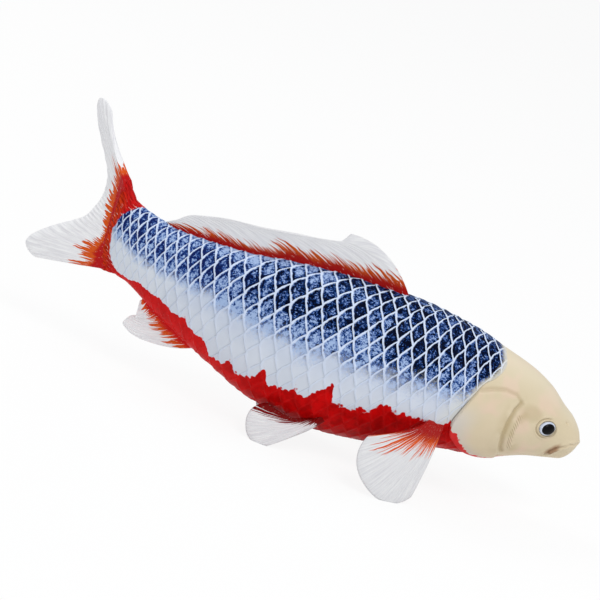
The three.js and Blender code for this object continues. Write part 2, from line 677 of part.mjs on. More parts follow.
// Gill covers: the head's form grown by a step and ended along the curve of the cover's edge.
function gillCovers() {
  const place = (fromSnout, height) => new THREE.Vector2(spineAt(fromSnout).point.x, height);
  const throat = sectionAt(THROAT_FROM_SNOUT);
  const cover = sectionAt(GILL_FROM_SNOUT);
  const nape = sectionAt(NAPE_FROM_SNOUT);
  const edge = new THREE.SplineCurve([
    place(THROAT_FROM_SNOUT, throat.belly - GILL_STEP),
    ...GILL_LOWER_EDGE.map(({ back, up }) => place(
      mix(THROAT_FROM_SNOUT, GILL_FROM_SNOUT, back), mix(throat.belly, cover.middle, up),
    )),
    ...GILL_UPPER_EDGE.map(({ back, up }) => place(
      mix(NAPE_FROM_SNOUT, GILL_FROM_SNOUT, back), mix(cover.middle, nape.back, up),
    )),
    place(NAPE_FROM_SNOUT, nape.back + GILL_STEP),
  ]);
  const front = spineAt(CHEEK_FROM_SNOUT).point.x;
  const outline = edge.getPoints(ROUND_STEPS).map(({ x, y }) => [x, y]);
  outline.push([front, nape.back + GILL_STEP], [front, throat.belly - GILL_STEP]);
  const growAt = (fromSnout, angle) => {
    const rise = smoothstep(fromSnout, CHEEK_FROM_SNOUT, NAPE_FROM_SNOUT);
    const fade = 1 - smoothstep(angle, radians(GILL_FADE_START), radians(GILL_FADE_END));
    return mix(-GILL_STEP / 2, GILL_STEP, rise * fade);
  };
  return bodyForm(CHEEK_FROM_SNOUT, GILL_FROM_SNOUT + STATION_STEP, growAt).intersect(sideCutter(outline));
}

// Slit of the mouth, from the snout down to its corner.
function mouthSlit() {
  const front = spineAt(-MOUTH_GAPE).point.x;
  const corner = spineAt(MOUTH_LENGTH).point.x;
  const lip = new THREE.QuadraticBezierCurve(
    new THREE.Vector2(front, MOUTH_HEIGHT),
    new THREE.Vector2((front + corner) / 2, MOUTH_HEIGHT),
    new THREE.Vector2(corner, MOUTH_HEIGHT - MOUTH_DROP),
  );
  const upper = [];
  const lower = [];
  for (let i = 0; i <= MOUTH_STEPS; i += 1) {
    const { x, y } = lip.getPoint(i / MOUTH_STEPS);
    const half = (MOUTH_GAPE / 2) * (1 - i / MOUTH_STEPS);
    upper.push([x, y + half]);
    if (i < MOUTH_STEPS) lower.unshift([x, y - half]);
  }
  return sideCutter([...upper, ...lower]);
}

// Locating pin and its bosses, square to the parting line.
function locator(fromSnout) {
  const { point, left } = spineAt(fromSnout);
  const section = sectionAt(fromSnout);
  point.setZ(section.middle);
  const wall = section.half - WALL / 2;
  const boss = (side) => bar(BOSS_DIAMETER, SEAM_GAP / 2, wall, point, left.clone().multiplyScalar(side));
  const right = left.clone().negate();
  return {
    rightBoss: boss(RIGHT),
    leftBoss: boss(LEFT),
    pin: bar(PIN_DIAMETER, -SEAM_GAP, PIN_LENGTH, point, right),
    socket: bar(PIN_DIAMETER + 2 * CLEARANCE, -SEAM_GAP, PIN_LENGTH + CLEARANCE, point, right),
  };
}

const dorsal = edgeFin({
  start: DORSAL_FROM_SNOUT,
  base: DORSAL_BASE,
  height: DORSAL_HEIGHT,
  lean: DORSAL_LEAN,
  rays: DORSAL_RAYS,
  curve: DORSAL_RAY_CURVE,
  outline: DORSAL_OUTLINE,
  line: backLine,
  direction: 1,
});
const anal = edgeFin({
  start: BODY_LENGTH - ANAL_FROM_TAIL,
  base: ANAL_BASE,
  height: ANAL_HEIGHT,
  lean: ANAL_LEAN,
  rays: ANAL_RAYS,
  curve: ANAL_RAY_CURVE,
  outline: ANAL_OUTLINE,
  line: bellyLine,
  direction: -1,
});
const tail = tailFin();
const pairs = SIDES.map(({ name, side }) => ({
  name,
  side,
  pectoral: pairedFin(PECTORAL, side),
  pelvic: pairedFin(PELVIC, side),
  eye: eyePieces(side),
}));

const locators = PIN_STATIONS.map(locator);
const outerForm = cut(joined(bodyForm(0, BODY_LENGTH, () => 0), gillCovers()), mouthSlit());
const cavity = bodyForm(CAVITY_FROM_SNOUT, BODY_LENGTH - CAVITY_FROM_TAIL, () => -WALL);
const hollowForm = outerForm.subtract(cavity);

function bodyShell({ side, pectoral, pelvic, eye }) {
  const half = joined(hollowForm.intersect(sideBlock(side)), eye.lid.intersect(sideBlock(side)));
  const bosses = locators.map(({ rightBoss, leftBoss }) => (side === RIGHT ? rightBoss : leftBoss));
  const holes = side === RIGHT ? locators.map(({ socket }) => socket) : [];
  const pins = side === LEFT ? locators.map(({ pin }) => pin) : [];
  const slots = [dorsal, anal, tail, pectoral, pelvic].map(({ slot }) => slot);
  return joined(cut(joined(half, ...bosses), ...slots, eye.bore, ...holes), ...pins);
}

const figurine = new THREE.Group();

function addPiece(name, solid, color, roughness) {
  const material = new THREE.MeshStandardMaterial({ color, roughness, metalness: 0 });
  const mesh = new THREE.Mesh(toGeometry(solid), material);
  mesh.name = name;
  figurine.add(mesh);
}

const PAINTED_SKIN = 0x7d87a6;
const PEARL_FIN = 0xd6d2d4;
const RED_TINTED_FIN = 0xd9b8b0;
const EYE_WHITE = 0xe3e6ee;
const PUPIL_BLACK = 0x0a0a0c;

addPiece('dorsal_fin', dorsal.solid, RED_TINTED_FIN, 0.35);
addPiece('anal_fin', anal.solid, PEARL_FIN, 0.35);
addPiece('tail_fin', tail.solid, RED_TINTED_FIN, 0.35);
pairs.forEach((pair) => {
  addPiece(`${pair.name}_body_shell`, bodyShell(pair), PAINTED_SKIN, 0.4);
  addPiece(`${pair.name}_pectoral_fin`, pair.pectoral.solid, PEARL_FIN, 0.35);
  addPiece(`${pair.name}_pelvic_fin`, pair.pelvic.solid, PEARL_FIN, 0.35);
  addPiece(`${pair.name}_eye`, pair.eye.white, EYE_WHITE, 0.25);
  addPiece(`${pair.name}_pupil`, pair.eye.black, PUPIL_BLACK, 0.1);
});

// The origin is on the ground, under the middle of the figurine's box.
const box = new THREE.Box3().setFromObject(figurine);
const middle = box.getCenter(new THREE.Vector3());
figurine.position.set(-middle.x, -middle.y, -box.min.z);

export default figurine;
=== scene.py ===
"""Looks of the koi figurine: a painted skin with raised scales, rayed fins and set-in eyes."""

import math
from types import SimpleNamespace

import bpy
import numpy as np
from mathutils import Matrix, Vector


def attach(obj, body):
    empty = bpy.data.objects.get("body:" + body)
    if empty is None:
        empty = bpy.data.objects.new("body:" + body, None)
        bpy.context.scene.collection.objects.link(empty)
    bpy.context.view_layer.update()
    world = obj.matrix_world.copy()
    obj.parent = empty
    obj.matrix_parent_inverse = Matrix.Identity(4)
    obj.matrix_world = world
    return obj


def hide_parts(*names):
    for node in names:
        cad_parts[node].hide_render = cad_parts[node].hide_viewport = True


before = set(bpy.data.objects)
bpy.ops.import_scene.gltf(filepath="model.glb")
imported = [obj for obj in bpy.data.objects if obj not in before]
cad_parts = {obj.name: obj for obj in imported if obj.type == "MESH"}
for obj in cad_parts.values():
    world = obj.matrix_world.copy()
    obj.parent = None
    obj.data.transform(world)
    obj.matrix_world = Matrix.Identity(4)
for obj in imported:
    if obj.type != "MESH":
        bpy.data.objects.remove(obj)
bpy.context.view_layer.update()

# The fish's own frame is in millimetres, with its spine's bend at the origin. ORIGIN moves it
# to the CAD frame. "u" is the distance from the snout along the spine, and "share" runs round
# a flank from the back line, 0, to the belly line, 1. Ranges are pairs, from and to.
MILLIMETRES_IN_METRE = 1000
ORIGIN = np.array([40.211, -7.292, 0.0])
BODY_LENGTH = 179.0
BODY_DEPTH = 54.0
BODY_WIDTH = 41.0
BELLY_CLEARANCE = 7.0
SNOUT_ROUNDING = 6.0
BEND_AT = 61.0
TAIL_BEND_RADIUS = 230.0
HEAD_BEND_RADIUS = 500.0
SECTION_MIDDLE = 0.52
SECTION_FULLNESS = 0.92
RIGHT, LEFT = -1.0, 1.0

# Distance from the snout, back line, belly line and width, as shares of the body's sizes.
SECTIONS = np.array([
    (0, 0.52, 0.31, 0.29), (0.022, 0.56, 0.283, 0.34), (0.05, 0.622, 0.269, 0.44),
    (0.084, 0.714, 0.24, 0.56), (0.128, 0.79, 0.196, 0.71), (0.19, 0.858, 0.138, 0.85),
    (0.268, 0.934, 0.114, 0.95), (0.385, 0.991, 0.039, 1), (0.497, 1, 0, 0.975),
    (0.609, 0.97, 0.033, 0.855), (0.732, 0.904, 0.166, 0.635), (0.866, 0.876, 0.336, 0.39),
    (0.961, 0.923, 0.439, 0.27), (1, 1.038, 0.428, 0.11),
])

# The throat's skin lies inside the plain section, most between these ranges of u and below this
# range of shares.
THROAT_LIFT = 1.2
THROAT_STARTS, THROAT_ENDS = (8, 22), (42, 64)
THROAT_BELOW = (0.7, 0.95)

# Lines on the flank, as (u, share).
BLUE_EDGE = [
    (30, 0.46), (45, 0.46), (55, 0.47), (65, 0.48), (75, 0.47), (85, 0.46), (95, 0.455),
    (105, 0.45), (115, 0.44), (125, 0.44), (135, 0.445), (145, 0.46), (155, 0.49), (165, 0.52),
    (172, 0.5), (179, 0.46),
]
RED_EDGE = [
    (0, 1.3), (20, 1.02), (23, 0.89), (26, 0.83), (29, 0.81), (32, 0.8), (35, 0.785), (38, 0.768),
    (40, 0.74), (42, 0.705), (44.5, 0.66), (46.5, 0.64), (47.3, 0.625), (48.2, 0.605),
    (49.4, 0.612), (49.9, 0.65), (53, 0.645), (57, 0.635), (60, 0.63), (62, 0.625), (63, 0.605),
    (64.5, 0.63), (67, 0.612), (69, 0.6), (71, 0.602), (72.4, 0.63), (73.2, 0.66), (75, 0.662),
    (76, 0.642), (77.6, 0.66), (80, 0.67), (83, 0.665), (85.4, 0.655), (85.9, 0.6), (86.6, 0.565),
    (88, 0.6), (90, 0.63), (92, 0.66), (94, 0.69), (96, 0.68), (97.4, 0.655), (99, 0.69),
    (101, 0.7), (104, 0.705), (106.5, 0.72), (107.4, 0.66), (108.3, 0.64), (109.8, 0.66),
    (110.4, 0.7), (112, 0.725), (115, 0.75), (118, 0.765), (119.5, 0.715), (120.6, 0.712),
    (121.8, 0.75), (124, 0.775), (128, 0.8), (129.5, 0.745), (131, 0.715), (134, 0.72),
    (137, 0.715), (138.6, 0.7), (139.4, 0.663), (140.6, 0.668), (141.4, 0.7), (144, 0.715),
    (147, 0.71), (150, 0.703), (154, 0.72), (158, 0.735), (161, 0.745), (163, 0.79),
    (165, 0.835), (168, 0.86), (171, 0.87), (179, 0.87),
]
# Lines round the flank, as (share, u).
GILL_EDGE = [
    (0, 35), (0.08, 35.3), (0.167, 35), (0.236, 36), (0.3125, 38.8), (0.354, 41.2), (0.444, 43.9),
    (0.54, 46.3), (0.61, 47.4), (0.667, 46.9), (0.71, 44.6), (0.78, 39.5), (0.82, 35.2),
    (0.9, 30.5), (1, 28),
]
TAIL_RED_EDGE = [
    (0, 169.5), (0.1, 171.5), (0.2, 173.6), (0.3, 175.2), (0.4, 176.3), (0.5, 176.8),
    (0.6, 176.6), (0.7, 175.6), (0.8, 173), (0.9, 170), (1, 168),
]


def smoothstep(low, high, x):
    t = np.clip((x - low) / (high - low), 0, 1)
    return t * t * (3 - 2 * t)


def lerp(a, b, t):
    return a + (b - a) * t


def bell(distance, width):
    return np.exp(-((distance / width) ** 2))


def unit(v):
    return v / np.linalg.norm(v)


def stack(x, y, z):
    return np.stack(np.broadcast_arrays(x, y, z), -1)


def smooth_curve(xs, ys):
    """Curve through knots that adds no bump of its own between them."""
    xs, ys = np.asarray(xs, float), np.asarray(ys, float)
    steps = np.diff(xs)
    secants = np.diff(ys) / steps
    slopes = np.zeros(len(xs))
    slopes[0], slopes[-1] = secants[0], secants[-1]
    for i in range(1, len(xs) - 1):
        if secants[i - 1] * secants[i] > 0:
            slopes[i] = 2 * secants[i - 1] * secants[i] / (secants[i - 1] + secants[i])

    def value(x):
        i = np.clip(np.searchsorted(xs, x) - 1, 0, len(steps) - 1)
        t = np.clip((x - xs[i]) / steps[i], 0, 1)
        leave = t * (1 - t) ** 2 * steps[i] * slopes[i]
        arrive = t * t * (t - 1) * steps[i] * slopes[i + 1]
        return lerp(ys[i], ys[i + 1], t * t * (3 - 2 * t)) + leave + arrive

    return value


def line(knots):
    """Broken line through knots."""
    xs, ys = np.array(knots, float).T
    return lambda x: np.interp(x, xs, ys)


back_share, belly_share, width_share = (
    smooth_curve(SECTIONS[:, 0], SECTIONS[:, k]) for k in (1, 2, 3)
)
blue_edge = smooth_curve(*np.array(BLUE_EDGE).T)
red_edge = line(RED_EDGE)
gill_edge = smooth_curve(*np.array(GILL_EDGE).T)
tail_red_edge = smooth_curve(*np.array(TAIL_RED_EDGE).T)


def spine(u):
    """Spine point, and the directions to the tail and to the left."""
    radius = np.where(u > BEND_AT, TAIL_BEND_RADIUS, HEAD_BEND_RADIUS)
    turn = (u - BEND_AT) / radius
    point = stack(-radius * np.sin(turn), radius * (1 - np.cos(turn)), 0.0)
    return point, stack(-np.cos(turn), np.sin(turn), 0.0), stack(np.sin(turn), np.cos(turn), 0.0)


def section(u):
    """Heights of the middle, the back and the belly, and the half width."""
    share = u / BODY_LENGTH
    back = BELLY_CLEARANCE + BODY_DEPTH * back_share(share)
    belly = BELLY_CLEARANCE + BODY_DEPTH * belly_share(share)
    middle = lerp(belly, back, SECTION_MIDDLE)
    to_tip = np.clip(1 - u / SNOUT_ROUNDING, 0, 1)
    rounding = np.sqrt(1 - to_tip * to_tip)
    half = BODY_WIDTH / 2 * width_share(share) * rounding
    return middle, lerp(middle, back, rounding), lerp(middle, belly, rounding), half


def skin(u, angle, side, grow=0.0):
    """Point of the body's smooth surface, grown by a distance. The angle runs up from the belly."""
    middle, back, belly, half = section(u)
    point, _, left = spine(u)
    rise = -np.cos(angle)
    reach = np.where(rise < 0, middle - belly, back - middle)
    out = (half + grow) * np.abs(np.sin(angle)) ** SECTION_FULLNESS
    return point + left * (side * out)[..., None] + stack(0.0, 0.0, middle + rise * (reach + grow))


def skin_frame(u, angle_degrees, side):
    """Surface point with its outward normal and its rearward and upward tangents."""
    angle, step = math.radians(angle_degrees), 0.01
    here, behind, above = (
        skin(np.array(v), np.array(a), side) for v, a in ((u, angle), (u + step, angle), (u, angle + step))
    )
    rearward, climb = unit(behind - here), unit(above - here)
    return here, unit(np.cross(rearward, climb) * side), rearward, climb


# Grid of the angles up the section at even shares of each half girth.
GRID_START = 0.3
GRID_ROWS, GRID_STEPS = 400, 241
GRID_U = np.linspace(GRID_START, BODY_LENGTH, GRID_ROWS)
GRID_ANGLE = np.linspace(0, math.pi, GRID_STEPS)
GRID_SHARE = np.linspace(0, 1, GRID_STEPS)
# A little over one step, which keeps the last place inside the last cell.
LAST_CELL = 1.001


def ring_arcs():
    """Lengths up each ring from the belly line."""
    angle, u = np.meshgrid(GRID_ANGLE, GRID_U)
    steps = np.diff(skin(u, angle, RIGHT), axis=1)
    lengths = np.cumsum(np.linalg.norm(steps, axis=-1), axis=1)
    return np.concatenate([np.zeros((GRID_ROWS, 1)), lengths], axis=1)


ARCS = ring_arcs()
HALF_GIRTH = ARCS[:, -1]
ANGLES = np.array([np.interp((1 - GRID_SHARE) * arcs[-1], arcs, GRID_ANGLE) for arcs in ARCS])


def angle_at(u, share):
    """Angle up the section at a share of the half girth."""
    x = np.clip((u - GRID_U[0]) / (GRID_U[1] - GRID_U[0]), 0, GRID_ROWS - LAST_CELL)
    y = np.clip(share, 0, 1) * (GRID_STEPS - LAST_CELL)
    i, j = x.astype(int), y.astype(int)
    near = lerp(ANGLES[i, j], ANGLES[i, j + 1], y - j)
    far = lerp(ANGLES[i + 1, j], ANGLES[i + 1, j + 1], y - j)
    return lerp(near, far, x - i)


def share_of(u, angle_degrees):
    """Share of the half girth at an angle up the section."""
    row = int(np.argmin(np.abs(GRID_U - u)))
    return float(np.interp(-math.radians(angle_degrees), -ANGLES[row], GRID_SHARE))


def half_girth(u):
    return np.interp(u, GRID_U, HALF_GIRTH)


def throat(u, share):
    """How far the throat's skin lies inside the plain section."""
    along = smoothstep(*THROAT_STARTS, u) * (1 - smoothstep(*THROAT_ENDS, u))
    return THROAT_LIFT * along * smoothstep(*THROAT_BELOW, share)


# Scales: "s" counts scales along the fish and "t" counts rows down the flank. Each row has its
# distance from the snout, the pitch along the fish, the spacing of the rows, and the rows that
# are passed per millimetre along the fish.
SCALES = np.array([
    (48, 4.57, 5.86, -0.007), (62, 4.55, 5.34, -0.005), (74, 4.72, 4.89, 0.008),
    (86, 5.11, 5.04, 0.028), (98, 5.83, 5.55, 0.057), (110, 6.12, 5.87, 0.065),
    (122, 6.01, 5.88, 0.032), (134, 5.36, 5.65, -0.013), (146, 4.65, 5.16, -0.041),
    (157, 3.84, 4.56, -0.059), (168, 3.30, 3.88, -0.068),
])
SCALE_FROM, SCALE_MIDDLE = 80.0, 0.25
SCALE_PHASE, ROW_PHASE = 0.22, 0.33
# Lean of a row: the coefficients of a parabola in steps of LEAN_STEP from LEAN_FROM.
SCALE_LEAN = (-0.117, 0.061, 0.018)
LEAN_FROM, LEAN_STEP = 105, 40
# Shape of a scale's rear edge, and how far each row is shifted against the next one.
ROW_SHIFT = 0.5
UPPER_DROP, UPPER_ROUNDING = 0.5, 0.45
LOWER_DROP, LOWER_ROUNDING = 0.5, 0.38
EDGE_SLOPE = 1.1
SCALE_HEIGHT, SCALE_CURVE = 0.3, 1.6
SCALE_RIM, SCALE_RIM_WIDTH = 0.16, 0.6
LATTICE_END, LATTICE_STEP = 181, 0.25
LATTICE_U = np.arange(0, LATTICE_END, LATTICE_STEP)


def counted(steps):
    """Running sum along the fish of steps per millimetre, from SCALE_FROM."""
    total = np.cumsum(LATTICE_STEP * steps)
    return total - np.interp(SCALE_FROM, LATTICE_U, total)


def row_spacing(u):
    return np.interp(u, SCALES[:, 0], SCALES[:, 2])


SCALE_COUNT = counted(1 / np.interp(LATTICE_U, SCALES[:, 0], SCALES[:, 1]))
ROW_COUNT = counted(np.interp(LATTICE_U, SCALES[:, 0], SCALES[:, 3]))


def lattice(u, share):
    """Scale and row numbers of a place on the flank."""
    down = (share - SCALE_MIDDLE) * half_girth(u) / row_spacing(u)
    down = down + np.interp(u, LATTICE_U, ROW_COUNT)
    lean = np.polyval(SCALE_LEAN[::-1], (u - LEAN_FROM) / LEAN_STEP)
    along = np.interp(u, LATTICE_U, SCALE_COUNT) + lean * down
    return along + SCALE_PHASE, down + ROW_PHASE


def edge_drop(away, drop, rounding):
    """How far a scale's rear edge falls back from its tip, some rows away from it."""
    full = math.sqrt(1 + rounding ** 2) - rounding
    return drop * (np.sqrt(away * away + rounding ** 2) - rounding) / full


def to_rear_edge(s, t):
    """Gap back to the rear edge of the scale on top here, in scale lengths."""
    row = np.floor(t)
    drop = edge_drop(t - row, LOWER_DROP, LOWER_ROUNDING)
    other_drop = edge_drop(1 - t + row, UPPER_DROP, UPPER_ROUNDING)
    gap = (-ROW_SHIFT * row - drop - s) % 1
    other_gap = (-ROW_SHIFT * (row + 1) - other_drop - s) % 1
    return np.where(other_gap + other_drop < gap + drop, other_gap, gap)


def scale_relief(u, share):
    """Height of the scales: each rises to its rear edge, which has a rim."""
    gap = to_rear_edge(*lattice(u, share))
    to_rim = gap * row_spacing(u) / EDGE_SLOPE
    return SCALE_HEIGHT * (1 - gap) ** SCALE_CURVE + SCALE_RIM * bell(to_rim, SCALE_RIM_WIDTH)


# Meshes
def grid_normals(points, closed):
    """Unit normals of a grid of points, rows by columns, closed round the columns or not."""
    down = np.gradient(points, axis=0)
    if closed:
        across = (np.roll(points, -1, axis=1) - np.roll(points, 1, axis=1)) / 2
    else:
        across = np.gradient(points, axis=1)
    normals = np.cross(down, across)
    return normals / np.maximum(np.linalg.norm(normals, axis=-1, keepdims=True), 1e-9)


def make_object(name, points, faces, attributes):
    """Mesh object from points in the fish's frame, with a vector attribute for each name."""
    mesh = bpy.data.meshes.new(name)
    mesh.from_pydata(((points + ORIGIN) / MILLIMETRES_IN_METRE).tolist(), [], faces)
    for key, values in attributes.items():
        layer = mesh.attributes.new(key, "FLOAT_VECTOR", "POINT")
        layer.data.foreach_set("vector", np.ascontiguousarray(values, np.float32).ravel())
    mesh.polygons.foreach_set("use_smooth", [True] * len(mesh.polygons))
    mesh.update()
    made = bpy.data.objects.new(name, mesh)
    bpy.context.scene.collection.objects.link(made)
    return made


def tube_faces(rows, columns):
    """Quads of a grid that closes round its columns, and fans to the two end points after it.
    They face out where the rings run clockwise, seen from the last ring."""
    i, j = np.meshgrid(np.arange(rows - 1), np.arange(columns), indexing="ij")
    k = (j + 1) % columns
    near, far = i * columns, (i + 1) * columns
    faces = np.stack([far + j, far + k, near + k, near + j], -1).reshape(-1, 4).tolist()
    count = rows * columns
    last = count - columns
    for a in range(columns):
        b = (a + 1) % columns
        faces.append([count, a, b])
        faces.append([count + 1, last + b, last + a])
    return faces


def tube(name, rings, ends, attributes):
    """Object from rings of points, closed at both ends by a point that is painted as its ring is."""
    points = np.concatenate([rings.reshape(-1, 3), ends])
    painted = {key: np.concatenate([v, v[:1], v[-1:]]) for key, v in attributes.items()}
    return make_object(name, points, tube_faces(*rings.shape[:2]), painted)


def flank_columns(count):
    """Shares and sides of a ring's columns: down the right flank and up the left one."""
    share = np.concatenate([np.arange(count) / count, 1 - np.arange(count) / count])
    side = np.concatenate([np.full(count, RIGHT), np.full(count, LEFT)])
    return share, side


def vectors(*parts):
    """One vector for each point of a grid, from three grids of values."""
    return np.stack([part.ravel() for part in parts], -1)


def paint_attributes(u, share):
    """Where a point lies against the painted areas: inside where a value is positive."""
    s, t = lattice(u, share)
    return {
        "paint": vectors(blue_edge(u) - share, share - red_edge(u), u - tail_red_edge(share)),
        "lattice": vectors(s, t, u - gill_edge(share)),
        "place": vectors(u, share, row_spacing(u)),
    }


# Trunk
TRUNK_START = 23.0
TRUNK_RINGS, TRUNK_COLUMNS = 372, 128
# Samples in a grid cell, over which the scales are averaged.
CELL_OFFSETS = (-0.33, 0.0, 0.33)
# Under the gill cover the trunk is smooth and lies deeper.
COVER_DEPTH = 0.8
UNDER_COVER = (-3, -0.4)
# What is left of the scales by the gill, on the flank, on the rear flank and by the tail.
GILL_SCALES, FLANK_SCALES, REAR_FLANK_SCALES, TAIL_SCALES = 0.15, 0.85, 0.25, 0.6
GILL_FADE, TAIL_FADE = (0, 3.5), (150, 172)
FLANK_FADE, REAR_FLANK_FADE, REAR_FLANK_START = (0.42, 0.56), (0.42, 0.6), (146, 162)
# The red tail root has wavy strands instead.
TAIL_ROOT = (-1.2, 0.2)
TAIL_STRANDS, STRAND_HEIGHT = 13, 0.3
STRAND_WAVE, STRAND_WAVE_ALONG, STRAND_WAVE_ROUND = 0.35, 1.1, 9


def cell_relief(u, share, u_step, share_step):
    """Scale relief, averaged over the cells of a grid."""
    relief = np.zeros(u.shape)
    for a in CELL_OFFSETS:
        for b in CELL_OFFSETS:
            relief += scale_relief(u + a * u_step, share + b * share_step)
    return relief / len(CELL_OFFSETS) ** 2


def scale_strength(u, share):
    """How much of the scale relief is left."""
    rear_flank = smoothstep(*REAR_FLANK_START, u) * smoothstep(*REAR_FLANK_FADE, share)
    strength = lerp(1, FLANK_SCALES, smoothstep(*FLANK_FADE, share))
    strength = strength * lerp(1, REAR_FLANK_SCALES, rear_flank)
    strength = strength * lerp(1, TAIL_SCALES, smoothstep(*TAIL_FADE, u))
    return strength * lerp(GILL_SCALES, 1, smoothstep(*GILL_FADE, u - gill_edge(share)))


def tail_strands(u, share):
    wave = STRAND_WAVE * np.sin(STRAND_WAVE_ALONG * u + STRAND_WAVE_ROUND * share)
    return STRAND_HEIGHT * (0.5 + 0.5 * np.cos(2 * math.pi * (TAIL_STRANDS * share + wave)))


def trunk():
    share_axis, side = flank_columns(TRUNK_COLUMNS)
    u_axis = np.linspace(TRUNK_START, BODY_LENGTH, TRUNK_RINGS)
    share, u = np.meshgrid(share_axis, u_axis)
    under = 1 - smoothstep(*UNDER_COVER, u - gill_edge(share))
    in_tail = smoothstep(*TAIL_ROOT, u - tail_red_edge(share))
    points = skin(u, angle_at(u, share), side, -COVER_DEPTH * under - throat(u, share))
    scales = cell_relief(u, share, u_axis[1] - u_axis[0], 1 / TRUNK_COLUMNS)
    scales = scales * scale_strength(u, share) * (1 - under) * (1 - in_tail)
    height = scales + in_tail * tail_strands(u, share)
    points = points + grid_normals(points, True) * height[..., None]
    ends = np.array([points[0].mean(0), points[-1].mean(0)])
    return tube("trunk_skin", points, ends, paint_attributes(u, share))


# Head: its creases are rows of (u, share), and its eye is at a distance from the snout and at an
# angle in degrees up the section.
HEAD_RINGS, HEAD_COLUMNS = 170, 150
RING_CROWDING = 1.35
CHEEK_GROOVE = [(27.3, 0.37), (28.8, 0.42), (29.8, 0.51), (29.8, 0.6), (28.8, 0.69), (27.6, 0.74)]
CHEEK_RIDGE = [(26.3, 0.458), (27, 0.555), (26.8, 0.625), (25.8, 0.69)]
COVER_TOP = [(42.3, 0.392), (38, 0.356), (33.8, 0.33), (29.8, 0.33), (27.8, 0.355)]
MOUTH = [(1.2, 0.5), (4.8, 0.53), (6.8, 0.583), (9.3, 0.64), (10.8, 0.7), (11.6, 0.775)]
UPPER_LIP = [(u - 0.9, share - 0.028) for u, share in MOUTH]
LOWER_LIP = [(u + 0.5, share + 0.035) for u, share in MOUTH[1:]]
NOSTRIL = (8.1, 0.3)
EYE_AT = (15.3, 92.5)
EYE_SHARE = share_of(*EYE_AT)
EYE_FLATNESS, EYE_TILT = 0.77, math.radians(18)
# The head lies a little outside the trunk, and its gill cover stands off more.
HEAD_GROWTH, HEAD_GROWS = 0.1, (3, 9)
GILL_STEP, GILL_STEP_GROWS = 0.75, (-15, -3)
GILL_STEP_TOP, GILL_STEP_BOTTOM = (0.2, 0.36), (0.78, 0.96)
# Relief in millimetres: a crease or a lip has its path, height and width, and a ring round the
# nostril or the eye has its radius, height and width.
CREASES = (
    (CHEEK_GROOVE, -0.62, 0.8), (COVER_TOP, -0.26, 0.6), (UPPER_LIP, 0.45, 0.9), (LOWER_LIP, 0.4, 0.8),
)
NOSTRIL_RINGS = ((0, -0.45, 0.5), (0.95, 0.14, 0.35))
EYE_RINGS = ((3.6, 0.4, 0.4),)
LID_CREASE_RADIUS, LID_STARTS = 4.3, (13.5, 16)
LID_RINGS = ((4.9, 0.25, 0.4), (LID_CREASE_RADIUS, -0.25, 0.35))
SOCKET_DEPTH, SOCKET_EDGE = 0.5, (3.4, 2.9)
PLATE_HEIGHT, PLATE_FRONT, PLATE_TOP, PLATE_BOTTOM = 0.75, (0, 1.4), (0, 1.3), (0.74, 0.94)
RIDGE_HEIGHT, RIDGE_WIDTH, RIDGE_PITCH = 0.5, 0.55, 1.1
MOUTH_DEPTHS, MOUTH_DEEPENS, MOUTH_WIDTH = (0.55, 1.0), (5, 9), 0.5
# The gill cover's rear edge rolls under. Each ring has its distance back and how far it sinks: up
# to 1 as a share of the cover's growth, and then in millimetres. A flush cover has a smaller lip.
ROLLED_RINGS = ((0.22, 0.3), (0.3, 0.75), (-0.6, 1.7), (-3.0, 3.0))
ROLL_UNDERCUT, ROLL_START = 0.15, 0.7
FLUSH_LIP = 0.25
ROLL_PAINTED_AT = 0.1


def distance_to(path, u, share):
    """Distance over the skin to a broken line, in millimetres."""
    girth = half_girth(u)
    best = np.full(u.shape, np.inf)
    for (u0, s0), (u1, s1) in zip(path[:-1], path[1:]):
        px, py = u - u0, (share - s0) * girth
        dx, dy = u1 - u0, (s1 - s0) * girth
        t = np.clip((px * dx + py * dy) / (dx * dx + dy * dy + 1e-9), 0, 1)
        best = np.minimum(best, np.hypot(px - t * dx, py - t * dy))
    return best


def to_eye(u, share):
    """Distance from the eye's centre over the skin, stretched so that the oval eye has a radius."""
    back, down = u - EYE_AT[0], (share - EYE_SHARE) * half_girth(u)
    long = back * math.cos(EYE_TILT) + down * math.sin(EYE_TILT)
    short = down * math.cos(EYE_TILT) - back * math.sin(EYE_TILT)
    return np.hypot(long, short / EYE_FLATNESS)


def rings_relief(distance, rings):
    return sum(height * bell(distance - radius, width) for radius, height, width in rings)


def head_relief(u, share):
    """Height of the gill cover, the creases, the mouth, the nostril and the eye's surroundings."""
    girth = half_girth(u)
    groove_u = line([(s, v) for v, s in CHEEK_GROOVE])(share)
    below_top = (share - line(sorted(COVER_TOP))(u)) * girth
    plate = smoothstep(*PLATE_FRONT, u - groove_u) * smoothstep(*PLATE_TOP, below_top)
    plate = plate * (1 - smoothstep(*PLATE_BOTTOM, share))
    hatch = 0.75 + 0.25 * np.sin(2 * math.pi * share * girth / RIDGE_PITCH)
    ridge = hatch * bell(distance_to(CHEEK_RIDGE, u, share), RIDGE_WIDTH)
    mouth_depth = lerp(*MOUTH_DEPTHS, smoothstep(*MOUTH_DEEPENS, u))
    nostril = np.hypot(u - NOSTRIL[0], (share - NOSTRIL[1]) * girth)
    eye = to_eye(u, share)
    height = PLATE_HEIGHT * plate + RIDGE_HEIGHT * ridge
    height += sum(rise * bell(distance_to(path, u, share), width) for path, rise, width in CREASES)
    height -= mouth_depth * bell(distance_to(MOUTH, u, share), MOUTH_WIDTH)
    height += rings_relief(nostril, NOSTRIL_RINGS) + rings_relief(eye, EYE_RINGS)
    height -= SOCKET_DEPTH * smoothstep(*SOCKET_EDGE, eye)
    return height + rings_relief(eye, LID_RINGS) * smoothstep(*LID_STARTS, u)


